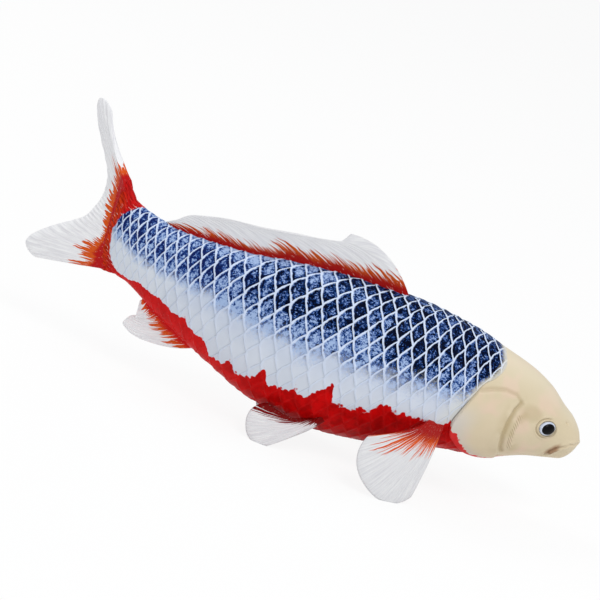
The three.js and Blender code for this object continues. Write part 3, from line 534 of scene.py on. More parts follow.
def head_growth(u, share):
    """How far the head's smooth surface lies outside the plain section."""
    step = smoothstep(*GILL_STEP_TOP, share) * (1 - smoothstep(*GILL_STEP_BOTTOM, share))
    step = GILL_STEP * step * smoothstep(*GILL_STEP_GROWS, u - gill_edge(share))
    return (HEAD_GROWTH + step) * smoothstep(*HEAD_GROWS, u) - throat(u, share)


def rolled_edge(share, side, grow):
    """Rings that turn the gill cover's rear edge under, into the trunk."""
    lip = lerp(FLUSH_LIP, 1.0, smoothstep(*GILL_STEP_TOP, share))
    rings = []
    for back, sink in ROLLED_RINGS:
        u = gill_edge(share) + back * lip
        left = grow * (1 - sink) - ROLL_UNDERCUT * sink if sink < 1 else ROLL_START - sink
        rings.append(skin(u, angle_at(u, share), side, left))
    return np.stack(rings)


def head():
    share_axis, side = flank_columns(HEAD_COLUMNS)
    edge = gill_edge(share_axis)
    along = np.linspace(0, 1, HEAD_RINGS + 1)[1:] ** RING_CROWDING
    u = edge * along[:, None]
    share = np.broadcast_to(share_axis, u.shape)
    grow = head_growth(u, share)
    points = skin(u, angle_at(u, share), side, grow)
    points = points + grid_normals(points, True) * head_relief(u, share)[..., None]
    points = np.concatenate([points, rolled_edge(share_axis, side, grow[-1])])
    u = np.concatenate([u, np.tile(edge + ROLL_PAINTED_AT, (len(ROLLED_RINGS), 1))])
    share = np.broadcast_to(share_axis, u.shape)
    attributes = paint_attributes(u, share)
    creases = [distance_to(path, u, share) for path in (MOUTH, CHEEK_GROOVE, CHEEK_RIDGE, COVER_TOP)]
    attributes["crease"] = vectors(*creases[:2], to_eye(u, share))
    attributes["cheek"] = vectors(*creases[2:], share * half_girth(u))
    tip = skin(np.zeros(1), np.zeros(1), RIGHT)
    ends = np.concatenate([tip, points[-1].mean(0, keepdims=True)])
    return tube("head_skin", points, ends, attributes)


# Fins: a row has its place across the fin, and its shares of the fin's height and lean.
DORSAL_ROWS = [
    (0, 1, 1.06), (0.03, 0.77, 1.05), (0.06, 0.74, 1.03), (0.2, 0.69, 0.98), (0.45, 0.685, 0.95),
    (0.7, 0.5, 0.74), (0.88, 0.19, 0.38), (1, 0.05, 0.08),
]
ANAL_ROWS = [
    (0, 1, 0.92), (0.25, 0.97, 0.8), (0.5, 0.695, 0.54), (0.62, 0.6, 0.4), (0.8, 0.525, 0.2),
    (1, 0.11, 0.03),
]
DORSAL = dict(start=71, base=87, height=13.9, lean=25, curve=2.2, rows=DORSAL_ROWS, wave=0.4)
ANAL = dict(start=134.5, base=25, height=13.7, lean=29, curve=1.45, rows=ANAL_ROWS, wave=0.3)
EDGE_ROOT_SINK = 1.6
SWAY_ACROSS, SWAY_ALONG = 9, 2.5
# Rays: where they fork, where they rise from the root, and where the fin thins to its borders.
RAY_FORKS, RAY_RISES, RAY_SHARPNESS = (0.35, 0.75), (0, 0.25), 1.5
BORDER, BORDER_THICKNESS = (0, 0.02), 0.35
TIP_BORDER, TIP_THINNING = (0.94, 1.0), 0.8
# Tail: the pairs of reaches, tips and roundings are for its upper and its lower lobe.
TAIL_PITCH = math.radians(15.6)
TAIL_CENTRE_U, TAIL_CENTRE_HEIGHT = BODY_LENGTH - 8, 43.1
TAIL_ROOT_U = BODY_LENGTH + 0.3
TAIL_TANG = -0.1
LOBE_ANGLE, LOBE_TIGHTNESS = 44.9, 6.7
FORK_REACH, LOBE_REACHES = 19.7, (53.2, 46)
TIP_ANGLES, TIP_SHARPNESS, TIP_ROUNDINGS = (37.8, 34.2), (3.46, 2.84), (7.5, 5)
UPPER_HOLLOW, LOWER_HOLLOW = 2.2, 0.1
LOBE_TWIST, TIP_TWIST = 26.4, 1.5
TWIST_STARTS, TWIST_FADES = (-10.8, 6), (6, 36.8)
# Paired fins: angles are in degrees, the first one up the section.
PECTORAL = dict(
    u=52, angle=64, length=32.2, spread_angle=61.5, splay=39, roll=58, root_width=5.5, root_tilt=8.5
)
PELVIC = dict(
    u=87.1, angle=38.3, length=24.4, spread_angle=46.5, splay=0.6, roll=63.7, root_width=6, root_tilt=-53.2
)
HUB_OUT, FAN_ROOT_SINK = 1.3, 2.4
FAN_BOW, FAN_BOW_AT = 2, 0.4
FAN_ROUNDING, FAN_SQUARENESS = 0.23, 2.7
GROUND_CUT = 0.5
EDGE_SAMPLES, DROOP_STEPS = 41, 40


def border_loop(index):
    """Point numbers round the border of a grid of them."""
    sides = (index[:, 0], index[-1, 1:], index[-2::-1, -1], index[0, -2:0:-1])
    return np.concatenate(sides).tolist()


def blade(name, columns, rows, middle_at, half_at, strokes, start=0.0, ground=False):
    """Thin closed solid on both sides of a middle surface. It keeps its place across and along,
    and the reach of the brush strokes there."""
    across, along = np.meshgrid(
        np.linspace(0, 1, columns + 1), np.linspace(start, 1, rows + 1), indexing="ij"
    )
    middle = middle_at(across, along)
    offset = grid_normals(middle, False) * half_at(across, along)[..., None]
    points = np.concatenate([(middle + offset).reshape(-1, 3), (middle - offset).reshape(-1, 3)])
    if ground:
        points[:, 2] = np.maximum(points[:, 2], 0)
    total = across.size
    index = np.arange(total).reshape(across.shape)
    corners = (index[:-1, :-1], index[1:, :-1], index[1:, 1:], index[:-1, 1:])
    top = np.stack(corners, -1).reshape(-1, 4)
    faces = top.tolist() + (top[:, ::-1] + total).tolist()
    border = border_loop(index)
    for a, b in zip(border, border[1:] + border[:1]):
        faces.append([b, a, a + total, b + total])
    place = vectors(across, along, line(strokes)(across))
    return make_object(name, points, faces, {"fin": np.concatenate([place, place])})


def rayed(rays, root, edge, ridge):
    """Half thickness of a fin whose rays fork toward its edge."""

    def half(across, along):
        b = np.clip(along, 0, 1)
        plain = lerp(root, edge, np.sqrt(b)) / 2
        whole = 0.5 + 0.5 * np.cos(2 * math.pi * rays * across)
        forked = 0.5 + 0.5 * np.cos(4 * math.pi * rays * across)
        lines = lerp(whole, forked, smoothstep(*RAY_FORKS, b)) ** RAY_SHARPNESS
        border = smoothstep(*BORDER, across) * smoothstep(*BORDER, 1 - across)
        thinned = np.sqrt(np.clip(1 - smoothstep(*TIP_BORDER, b) * TIP_THINNING, 0, 1))
        swell = ridge / 2 * lines * smoothstep(*RAY_RISES, b)
        return (plain * lerp(BORDER_THICKNESS, 1, border) + swell * border) * thinned

    return half


def edge_fin(on_back, start, base, height, lean, curve, rows, wave):
    """Middle surface of a fin on the back line or the belly line."""
    rows = np.array(rows, float)
    height_share, lean_share = (smooth_curve(rows[:, 0], rows[:, k]) for k in (1, 2))

    def middle_at(across, along):
        b = np.clip(along, 0, 1)
        u = start + base * across + lean * lean_share(across) * along
        rise = height * height_share(across) * (1 - (1 - b) ** curve) - EDGE_ROOT_SINK * (1 - b) ** 5
        _, back, belly, _ = section(u)
        point, _, left = spine(u)
        sway = wave * np.sin(SWAY_ACROSS * across + SWAY_ALONG * b) * b
        level = back + rise if on_back else belly - rise
        return point + left * sway[..., None] + stack(0.0, 0.0, level)

    return middle_at


def by_lobe(spread, pair):
    """The first value on the tail's upper lobe and the second one on its lower lobe."""
    return np.where(spread > 0, *pair)


def tail_tip(spread):
    """Place of the tail's rear edge, from its lowest ray, -1, to its highest, 1."""
    angle = np.abs(spread) * LOBE_ANGLE
    tip_angle = by_lobe(spread, TIP_ANGLES)
    climb = (angle / tip_angle) ** by_lobe(spread, TIP_SHARPNESS)
    rise = climb / (1 + climb ** LOBE_TIGHTNESS) ** (1 / LOBE_TIGHTNESS)
    past = np.maximum(angle - tip_angle, 0) / (LOBE_ANGLE - tip_angle)
    reach = lerp(FORK_REACH, by_lobe(spread, LOBE_REACHES), rise)
    reach = reach - by_lobe(spread, TIP_ROUNDINGS) * past * past
    turn = np.radians(angle) * np.sign(spread) + TAIL_PITCH
    return TAIL_CENTRE_U + reach * np.cos(turn), TAIL_CENTRE_HEIGHT + reach * np.sin(turn)


def tail_middle(across, along):
    """Middle surface of the forked tail, its upper lobe turned about its outer edge."""
    _, root_top, root_low, _ = (float(v) for v in section(np.array(BODY_LENGTH)))
    even = 2 * across - 1
    spread = (even + np.sin(even * math.pi / 2)) / 2
    tip_u, tip_z = tail_tip(spread)
    root_z = lerp(root_low, root_top, (spread + 1) / 2)
    axis = unit(np.array(tail_tip(np.array(1.0))) - np.array([TAIL_ROOT_U, root_top]))
    inward = np.array([axis[1], -axis[0]])
    bow = spread * np.sin(math.pi * np.clip(along, 0, 1))
    hollow = by_lobe(spread, (UPPER_HOLLOW, 0)) * bow
    u = lerp(TAIL_ROOT_U, tip_u, along) + inward[0] * hollow
    z = lerp(root_z, tip_z, along) + inward[1] * hollow + by_lobe(spread, (0, LOWER_HOLLOW)) * bow
    from_u, from_z = u - TAIL_ROOT_U, z - root_top
    outward = from_u * axis[0] + from_z * axis[1]
    depth = from_u * inward[0] + from_z * inward[1]
    settled = lerp(LOBE_TWIST, TIP_TWIST, smoothstep(*TWIST_FADES, outward))
    twist = np.radians(settled) * smoothstep(*TWIST_STARTS, outward)
    lift = depth * (np.cos(twist) - 1)
    point, _, left = spine(u + inward[0] * lift)
    sideways = left * (depth * np.sin(twist))[..., None]
    return point + sideways + stack(0.0, 0.0, z + inward[1] * lift)


def fan(hub, outward, root_line, centre, edge, length, spread_angle):
    """Middle surface of a fan-shaped fin that bows out from its root line."""

    def middle_at(order, along):
        spread = 2 * order - 1
        turn = spread_angle / 2 * spread
        reach = length * (1 - FAN_ROUNDING * np.abs(spread) ** FAN_SQUARENESS)
        root = hub + root_line * (spread / 2)[..., None]
        tip = hub + centre * (reach * np.cos(turn))[..., None] + edge * (reach * np.sin(turn))[..., None]
        bend = lerp(root, tip, FAN_BOW_AT) + outward * FAN_BOW
        b = along[..., None]
        point = lerp(lerp(root, bend, b), lerp(bend, tip, b), b)
        return point - outward * (FAN_ROOT_SINK * (1 - b) ** 4)

    return middle_at


def paired_middle(side, u, angle, length, spread_angle, splay, roll, root_width, root_tilt):
    """Middle surface of a paired fin that droops until its lowest edge just reaches the ground."""
    at, outward, rearward, climb = skin_frame(u, angle, side)
    _, back, left = spine(np.array(u))
    sideways, up = left * side, np.array([0, 0, 1.0])
    spread_angle, splay, roll, tilt = np.radians([spread_angle, splay, roll, root_tilt])
    hub = at + outward * HUB_OUT
    root_line = (rearward * np.cos(tilt) + climb * np.sin(tilt)) * root_width
    level = back * np.cos(splay) + sideways * np.sin(splay)
    across = back * np.sin(splay) - sideways * np.cos(splay)

    def drooped(droop):
        centre = level * math.cos(droop) - up * math.sin(droop)
        lift = level * math.sin(droop) + up * math.cos(droop)
        edge = across * np.cos(roll) + lift * np.sin(roll)
        return fan(hub, outward, root_line, centre, edge, length, spread_angle)

    shallow, steep = 0.0, math.pi / 2
    order, rim = np.linspace(0, 1, EDGE_SAMPLES), np.ones(EDGE_SAMPLES)
    for _ in range(DROOP_STEPS):
        droop = (shallow + steep) / 2
        lowest = drooped(droop)(order, rim)[:, 2].min()
        shallow, steep = (droop, steep) if lowest > -GROUND_CUT else (shallow, droop)
    return drooped(steep)


# Eyes
DOME_COLUMNS, DOME_RINGS = 72, 20
EYE_DOME = dict(radius=3.2, base=-0.1, rise=1.3, under=-0.9)
PUPIL_DOME = dict(radius=2.6, base=0.5, rise=1.15, under=0.1)


def dome(name, side, radius, base, rise, under):
    """Polished oval dome on the head, with a plain underside."""
    at, outward, rearward, _ = skin_frame(*EYE_AT, side)
    back = unit(rearward - outward * (rearward @ outward))
    down = side * np.cross(back, outward)
    long_axis = back * math.cos(EYE_TILT) + down * math.sin(EYE_TILT)
    short_axis = side * EYE_FLATNESS * (down * math.cos(EYE_TILT) - back * math.sin(EYE_TILT))
    turn = np.arange(DOME_COLUMNS) * 2 * math.pi / DOME_COLUMNS
    oval = long_axis * np.cos(turn)[:, None] + short_axis * np.sin(turn)[:, None]
    lean = np.linspace(0, math.pi / 2, DOME_RINGS + 1)[:-1]
    profile = [(radius, under)]
    profile += [(radius * math.cos(a), base + rise * math.sin(a)) for a in lean]
    rings = np.array([at + outward * height + reach * oval for reach, height in profile])
    ends = np.array([at + outward * under, at + outward * (base + rise)])
    return tube(name, rings, ends, {})


# Materials
def rgb(red, green, blue):
    """Linear colour from a displayed colour of 0 to 255."""
    values = [c / 255 for c in (red, green, blue)]
    return tuple(c / 12.92 if c <= 0.04045 else ((c + 0.055) / 1.055) ** 2.4 for c in values) + (1.0,)


RED, RED_DARK, RED_LIGHT = rgb(208, 8, 10), rgb(164, 2, 2), rgb(222, 40, 40)
ORANGE, CREAM = rgb(224, 88, 20), rgb(214, 199, 168)


class Paint:
    """Builds the nodes of one material, or of the world."""

    def __init__(self, owner, output="ShaderNodeOutputMaterial"):
        self.owner = owner
        owner.use_nodes = True
        self.tree = owner.node_tree
        self.tree.nodes.clear()
        self.surface = self.tree.nodes.new(output).inputs["Surface"]

    def put(self, socket, value):
        if isinstance(value, bpy.types.NodeSocket):
            self.tree.links.new(value, socket)
        else:
            socket.default_value = value

    def node(self, kind, values=(), **settings):
        """Outputs of a new node, whose inputs are given by name or by number."""
        made = self.tree.nodes.new(kind)
        for key, value in settings.items():
            setattr(made, key, value)
        for key, value in dict(values).items():
            self.put(made.inputs[key], value)
        return made.outputs

    def math(self, operation, a, b=0.0):
        return self.node("ShaderNodeMath", {0: a, 1: b}, operation=operation)[0]

    def add(self, total, *values):
        for value in values:
            total = self.math("ADD", total, value)
        return total

    def mul(self, product, *values):
        for value in values:
            product = self.math("MULTIPLY", product, value)
        return product

    def sub(self, a, b):
        return self.math("SUBTRACT", a, b)

    def off(self, x, middle):
        """Distance from a value to either side."""
        return self.math("ABSOLUTE", self.sub(x, middle))

    def swing(self, noise, reach):
        """Noise as a swing to both sides of zero."""
        return self.mul(self.sub(noise, 0.5), reach)

    def blend(self, factor, a, b):
        return self.add(a, self.mul(factor, self.sub(b, a)))

    def ramp(self, x, low, high, to_low=0.0, to_high=1.0):
        values = enumerate((x, low, high, to_low, to_high))
        return self.node("ShaderNodeMapRange", values, interpolation_type="SMOOTHSTEP")[0]

    def mix(self, factor, a, b):
        return self.node("ShaderNodeMix", {0: factor, 6: a, 7: b}, data_type="RGBA")[2]

    def attribute(self, name):
        vector = self.node("ShaderNodeAttribute", attribute_name=name)["Vector"]
        return tuple(self.node("ShaderNodeSeparateXYZ", {0: vector}))

    def vector(self, x, y):
        return self.node("ShaderNodeCombineXYZ", {0: x, 1: y})[0]

    def place(self):
        return self.node("ShaderNodeTexCoord")["Object"]

    def noise(self, vector, scale, detail=3.0, roughness=0.55, distortion=0.0):
        """Noise whose scale counts waves per unit: a metre, where the vector is a place."""
        values = {"Vector": vector, "Scale": scale, "Detail": detail, "Roughness": roughness}
        return self.node("ShaderNodeTexNoise", values | {"Distortion": distortion})[0]

    def streaked(self, x, x_scale, y, y_scale, detail, roughness=0.55):
        """Noise that is drawn out along one of two coordinates."""
        return self.noise(self.vector(self.mul(x, x_scale), self.mul(y, y_scale)), 1.0, detail, roughness)

    def chance(self, vector):
        return self.node("ShaderNodeTexWhiteNoise", {"Vector": vector}, noise_dimensions="2D")[0]

    def bump(self, height, strength, distance):
        values = {"Height": height, "Strength": strength, "Distance": distance}
        return self.node("ShaderNodeBump", values)[0]

    def either(self, factor, a, b):
        """Ends in a mix of two shaders."""
        self.put(self.surface, self.node("ShaderNodeMixShader", {0: factor, 1: a, 2: b})[0])

    def finish(self, color, roughness, specular, normal=None):
        values = {"Base Color": color, "Roughness": roughness, "Specular IOR Level": specular}
        if normal is not None:
            values["Normal"] = normal
        self.put(self.surface, self.node("ShaderNodeBsdfPrincipled", values)[0])
        return self.owner


def scale_lines(p, s, t):
    """Nodes for the scale on top: the gaps to its rear and front edges, and its number."""
    row = p.math("FLOOR", t)
    below = p.sub(t, row)
    lower = (row, below, LOWER_DROP, LOWER_ROUNDING)
    upper = (p.add(row, 1), p.sub(1, below), UPPER_DROP, UPPER_ROUNDING)
    ends = []
    for number, away, full, rounding in (lower, upper):
        slant = p.math("SQRT", p.add(p.mul(away, away), rounding ** 2))
        drop = p.mul(p.sub(slant, rounding), full / (math.sqrt(1 + rounding ** 2) - rounding))
        gap = p.math("FRACT", p.sub(p.sub(p.mul(number, -ROW_SHIFT), drop), s))
        ends.append((gap, p.add(gap, drop)))
    (gap, tip), (other_gap, other_tip) = ends
    other = p.math("LESS_THAN", other_tip, tip)
    rear = p.blend(other, gap, other_gap)
    front = p.sub(1, p.math("MAXIMUM", gap, other_gap))
    on_top = p.add(row, other)
    column = p.math("ROUND", p.add(s, p.blend(other, tip, other_tip), p.mul(on_top, ROW_SHIFT)))
    return rear, front, p.vector(column, on_top)


def red_area(p, here, red):
    """Share of red paint, whose edge is a row of small rounded knobs."""
    values = {"Vector": here, "Scale": 620, "Smoothness": 0.25}
    distance = p.node("ShaderNodeTexVoronoi", values, feature="SMOOTH_F1")["Distance"]
    ragged = p.swing(p.noise(here, 420, 3, 0.6), 0.02)
    return p.ramp(p.add(red, p.mul(p.sub(0.42, distance), 0.034), ragged), -0.004, 0.003)


def trunk_fields(p):
    """What the paints of the trunk share: where a place lies, and noises over it."""
    f = SimpleNamespace(here=p.place())
    f.blue, f.red, f.tail = p.attribute("paint")
    s, t, f.gill = p.attribute("lattice")
    f.u, f.share, row_height = p.attribute("place")
    f.wobble = p.noise(f.here, 420, 3)
    rear, front, number = scale_lines(p, p.add(s, p.swing(f.wobble, 0.12)), t)
    f.to_rim = p.mul(rear, row_height, 1 / EDGE_SLOPE)
    f.to_front = p.mul(front, row_height, 1 / EDGE_SLOPE)
    f.lot = p.chance(number)
    f.grain = p.noise(f.here, 1300, 4, 0.75, 0.8)
    f.patches = p.noise(f.here, 420, 2, 0.5)
    f.broad = p.noise(f.here, 95, 2)
    width = p.add(0.77, p.swing(f.patches, 0.8))
    f.rim = p.sub(1, p.ramp(f.to_rim, p.mul(width, 0.6), width))
    f.in_tail = p.ramp(p.add(f.tail, p.swing(f.wobble, 2.4)), -0.25, 0.25)
    return f


def blue_cells(p, f):
    """Navy cells mottled with blue, paler toward the flank, the tail and the rear crest, and darkened by
    painted shadow.
    """
    flankward = p.sub(1, p.ramp(f.blue, -0.02, 0.2))
    rearward = p.mul(p.ramp(f.u, 92, 128), p.ramp(f.share, 0.22, 0.02, 0.5, 1))
    crest = p.mul(p.ramp(f.u, 90, 104), p.ramp(f.u, 152, 138), p.ramp(f.share, 0.17, 0.08, 0, 0.3))
    pale = p.add(p.mul(flankward, 0.5), p.mul(rearward, 0.48), crest)
    pale = p.add(pale, p.swing(f.lot, 0.44), p.swing(f.broad, 0.6))
    mottle = p.add(p.swing(f.grain, 4.2), p.swing(f.patches, 1.8))
    # Painted shadow: darker at each cell's front, under the next scale's rim, and just inside its own rim.
    inside = p.mul(p.ramp(p.off(f.to_rim, 1.2), 0.55, 0.1), p.ramp(f.u, 88, 116, 0.14, 0.42))
    shadow = p.add(p.mul(p.ramp(f.to_front, 1.4, 0.1), 0.3), inside)
    tone = p.sub(p.add(p.ramp(f.u, 66, 104, 0.31, 0.38), mottle, pale), shadow)
    navy = p.mix(p.ramp(f.u, 108, 150), rgb(0, 5, 30), rgb(20, 34, 90))
    cell = p.mix(p.ramp(tone, 0.22, 0.64), navy, rgb(18, 74, 156))
    return p.mix(p.ramp(tone, 0.5, 1.04), cell, rgb(162, 185, 222))


def white_flank(p, f):
    """White paint, warmer behind the gill, with painted shade in the fine grooves between the scales."""
    flank = p.mix(p.ramp(f.broad, 0.3, 0.7), rgb(199, 208, 224), rgb(209, 217, 231))
    bright = p.math("MAXIMUM", p.ramp(f.share, 0.5, 0.62, 0, 0.6), p.ramp(f.u, 138, 156, 0, 0.9))
    flank = p.mix(bright, flank, rgb(219, 225, 233))
    warm = p.mul(p.ramp(f.gill, 9, 0), p.ramp(f.share, 0.3, 0.45), 0.5)
    flank = p.mix(warm, flank, rgb(216, 213, 196))
    # Painted shade in the grooves, at the front of each scale under the rim of the one ahead.
    groove = p.mul(p.ramp(f.to_front, 0.42, 0), p.ramp(f.patches, 0.3, 0.6), 0.45)
    return p.mix(groove, flank, rgb(134, 146, 168))


def red_paint(p, f):
    """Red of the belly, with painted highlights on rims and a painted rear sheen, and embers, dark streaks
    and painted glints on the tail root.
    """
    reds = p.mix(p.ramp(p.noise(f.here, 240, 4, 0.6), 0.3, 0.7), RED, RED_DARK)
    # Painted highlight on the scale rims, and a painted pinkish sheen lightening the red toward the rear.
    reds = p.mix(p.mul(f.rim, 0.16), reds, RED_LIGHT)
    reds = p.mix(p.ramp(f.u, 104, 128, 0, 0.45), reds, RED_LIGHT)
    strands = p.streaked(f.u, 0.2, f.share, 60, 3, 0.6)
    ember = p.ramp(p.add(f.u, p.swing(strands, 9)), 174, 177.5)
    reds = p.mix(p.mul(ember, p.ramp(f.share, 0.05, 0.2), f.in_tail, 0.75), reds, rgb(214, 66, 16))
    streaks = p.ramp(p.streaked(f.u, 0.25, f.share, 90, 3, 0.6), 0.46, 0.6)
    reds = p.mix(p.mul(streaks, f.in_tail, 0.8), reds, rgb(128, 2, 2))
    # Painted glints: small highlights painted on the tail root, near the scale edge.
    glints = p.ramp(p.streaked(f.u, 0.45, f.share, 46, 2), 0.6, 0.7)
    return p.mix(p.mul(glints, f.in_tail, p.ramp(f.tail, 4.5, 2), 0.7), reds, rgb(252, 226, 214))


def trunk_material():
    p = Paint(bpy.data.materials.new("painted_scales"))
    f = trunk_fields(p)
    fade = p.add(f.blue, 0.012, p.swing(f.broad, 0.10), p.swing(f.lot, 0.07), p.swing(f.grain, 0.2))
    in_blue = p.ramp(fade, -0.06, 0.06)
    color = p.mix(in_blue, white_flank(p, f), blue_cells(p, f))
    color = p.mix(p.mul(f.rim, p.add(p.mul(in_blue, 0.6), 0.34)), color, rgb(214, 226, 248))
    # Painted shade in the dark gap behind the gill cover, and a pale margin along its upper part.
    slit = p.mul(p.ramp(f.gill, 0.75, 0.35), p.ramp(f.share, 0.28, 0.36), p.ramp(f.share, 0.66, 0.6))
    color = p.mix(p.mul(slit, 0.75), color, rgb(74, 66, 52))
    margin = p.ramp(p.add(f.gill, p.swing(f.grain, 4)), 2.6, 0.4)
    color = p.mix(p.mul(margin, p.ramp(f.share, 0.54, 0.42), 0.85), color, rgb(224, 220, 208))
    any_red = p.math("MAXIMUM", red_area(p, f.here, f.red), f.in_tail)
    color = p.mix(any_red, color, red_paint(p, f))
    fine = p.add(p.mul(f.rim, 0.6), p.mul(f.grain, 0.2))
    return p.finish(color, p.sub(0.5, p.mul(any_red, 0.12)), 0.03, p.bump(fine, 0.4, 0.0004))


def cheek_paint(p, here, u, share, groove):
    """Cream paint in soft clouds, with painted light on the top of the head and painted shade in the gill
    cover's creases.
    """
    ridge, cover, down = p.attribute("cheek")
    broad = p.noise(here, 60, 3)
    color = p.mix(p.ramp(broad, 0.3, 0.7), CREAM, rgb(219, 203, 173))
    color = p.mix(p.ramp(p.noise(here, 80, 2), 0.48, 0.62, 0, 0.7), color, rgb(226, 200, 178))
    # Painted light: the top of the head is paler where light from above falls on it.
    color = p.mix(p.ramp(share, 0.36, 0.1, 0, 0.6), color, rgb(229, 218, 194))
    # Painted shade along the cheek groove, in the hatch marks of the ridge and along the cover's top
    # crease.
    color = p.mix(p.ramp(groove, 1.6, 0.1, 0, 0.5), color, rgb(164, 144, 104))
    notch = p.ramp(p.math("SINE", p.mul(p.add(down, p.mul(u, 0.8)), 5.2)), -0.2, 0.6)
    color = p.mix(p.mul(notch, p.ramp(ridge, 1.1, 0.5), 0.5), color, rgb(150, 128, 92))
    color = p.mix(p.ramp(cover, 1.2, 0.1, 0, 0.3), color, rgb(172, 154, 116))
    near = p.ramp(p.math("MINIMUM", ridge, groove), 5, 1)
    olive = p.mul(p.ramp(p.noise(here, 140, 2), 0.42, 0.62), near, 0.45)
    color = p.mix(olive, color, rgb(190, 172, 132))
    behind = p.math("POWER", p.mul(p.sub(u, 22.5), 0.2), 2)
    above = p.math("POWER", p.mul(p.sub(share, 0.41), 14), 2)
    temple = p.mul(p.ramp(p.add(behind, above), 1.2, 0.1), p.ramp(broad, 0.25, 0.6, 0.5, 1), 0.45)
    return p.mix(temple, color, rgb(182, 164, 124))


def mouth_and_eye_paint(p, color, u, share, mouth, eye):
    """Painted shade in brown and ochre: in the corner and along the mouth, in the lid's crease and round
    the eye's socket.
    """
    # Painted shade in the mouth's corner and along its line, in the lid's crease and round the socket.
    corner = p.mul(p.ramp(mouth, 2, 0.5), p.ramp(u, 7.4, 9.2), p.ramp(share, 0.76, 0.72), 0.8)
    color = p.mix(corner, color, rgb(150, 108, 76))
    seam = p.mul(p.ramp(mouth, 0.6, 0.1), p.ramp(u, 4, 9, 0.05, 0.4))
    color = p.mix(seam, color, rgb(126, 92, 64))
    lid = p.mul(p.ramp(p.off(eye, LID_CREASE_RADIUS), 0.5, 0.1), p.ramp(u, *LID_STARTS), 0.5)
    color = p.mix(lid, color, rgb(150, 132, 96))
    return p.mix(p.ramp(p.off(eye, 3.35), 0.4, 0.1, 0, 0.5), color, rgb(122, 108, 84))


def head_material():
    p = Paint(bpy.data.materials.new("cream_head"))
    here = p.place()
    red, gill = p.attribute("paint")[1], p.attribute("lattice")[2]
    u, share, _ = p.attribute("place")
    mouth, groove, eye = p.attribute("crease")
    color = cheek_paint(p, here, u, share, groove)
    color = mouth_and_eye_paint(p, color, u, share, mouth, eye)
    lower = p.mul(p.ramp(gill, -9, 0), p.ramp(share, 0.44, 0.6), 0.65)
    color = p.mix(lower, color, rgb(210, 208, 208))
    reds = p.mix(p.ramp(p.noise(here, 240, 4, 0.6), 0.3, 0.7), RED_LIGHT, RED)
    color = p.mix(red_area(p, here, red), color, reds)
    hatch = p.mul(p.streaked(u, 0.35, share, 90, 3), p.ramp(gill, -14, -2))
    fine = p.add(p.mul(p.noise(here, 800, 4), 0.5), hatch)
    return p.finish(color, 0.45, 0.2, p.bump(fine, 0.12, 0.0003))


# Rows of brush strokes: each has a seed, and its strokes against those of the first row.
STROKE_ROWS = ((0, 1), (9, 1.7), (17, 3.1))


def stroke_depth(p, drift, along, limit, strokes):
    """How far inside a tapered brush stroke a place lies."""
    wander = p.swing(p.noise(p.place(), 160, 2), 1.4)
    within = -1
    for seed, density in STROKE_ROWS:
        lane = p.add(p.mul(drift, density * strokes), wander)
        number = p.math("FLOOR", lane)
        aside = p.off(p.mul(p.sub(lane, number), 2), 1)
        length = p.mul(limit, p.add(0.35, p.mul(p.chance(p.vector(number, seed)), 0.75)))
        taper = p.sub(1, p.mul(p.math("POWER", aside, 1.7), 0.8))
        within = p.math("MAXIMUM", within, p.sub(p.mul(length, taper), along))
    return within


def fin_material(name, strokes, red_share, solid, pearl, tip, root, slant=0):
    """Pearly fin with painted glints and tapered brush strokes that leave its root in one hue and end in
    another.
    """
    p = Paint(bpy.data.materials.new(name))
    across, along, limit = p.attribute("fin")
    drift = p.sub(across, p.mul(along, slant))
    hairs = p.streaked(drift, 5 * strokes, along, 3, 4, 0.65)
    filled = p.mul(p.sub(p.mul(hairs, 2.4), 0.2), solid)
    within = stroke_depth(p, drift, along, limit, strokes)
    within = p.math("MAXIMUM", within, p.sub(filled, along))
    # The pearl's lightness, given for each fin, is painted light and shade on one pearl.
    bright, dim = rgb(pearl + 5, pearl + 5, pearl + 5), rgb(pearl - 15, pearl - 16, pearl - 12)
    bare = p.mix(p.ramp(hairs, 0.3, 0.7), bright, dim)
    reach = p.mul(limit, red_share)
    heat = p.ramp(p.add(along, p.swing(hairs, 0.16)), p.mul(reach, 1.4), p.mul(reach, 0.6))
    # Painted glints: small highlights painted along the rays.
    glints = p.ramp(p.streaked(drift, 5 * strokes, along, 18, 2), 0.62, 0.72, 0, 0.45)
    tint = p.mix(glints, p.mix(heat, tip, root), rgb(252, 222, 206))
    color = p.mix(p.ramp(within, -0.008, 0.03), bare, tint)
    return p.finish(color, 0.34, 0.12, p.bump(hairs, 0.35, 0.0004))


def eye_material():
    p = Paint(bpy.data.materials.new("eye_enamel"))
    clouds = p.ramp(p.noise(p.place(), 500, 3), 0.3, 0.7)
    return p.finish(p.mix(clouds, rgb(222, 228, 240), rgb(190, 200, 222)), 0.25, 0.3)


def pupil_material():
    p = Paint(bpy.data.materials.new("pupil_black"))
    return p.finish(p.mix(p.noise(p.place(), 900, 2), rgb(4, 4, 6), rgb(12, 12, 16)), 0.3, 0.1)


def dress(piece, material, slot, *nodes):
    piece.data.materials.append(material)
    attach(piece, "root")
    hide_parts(*nodes)


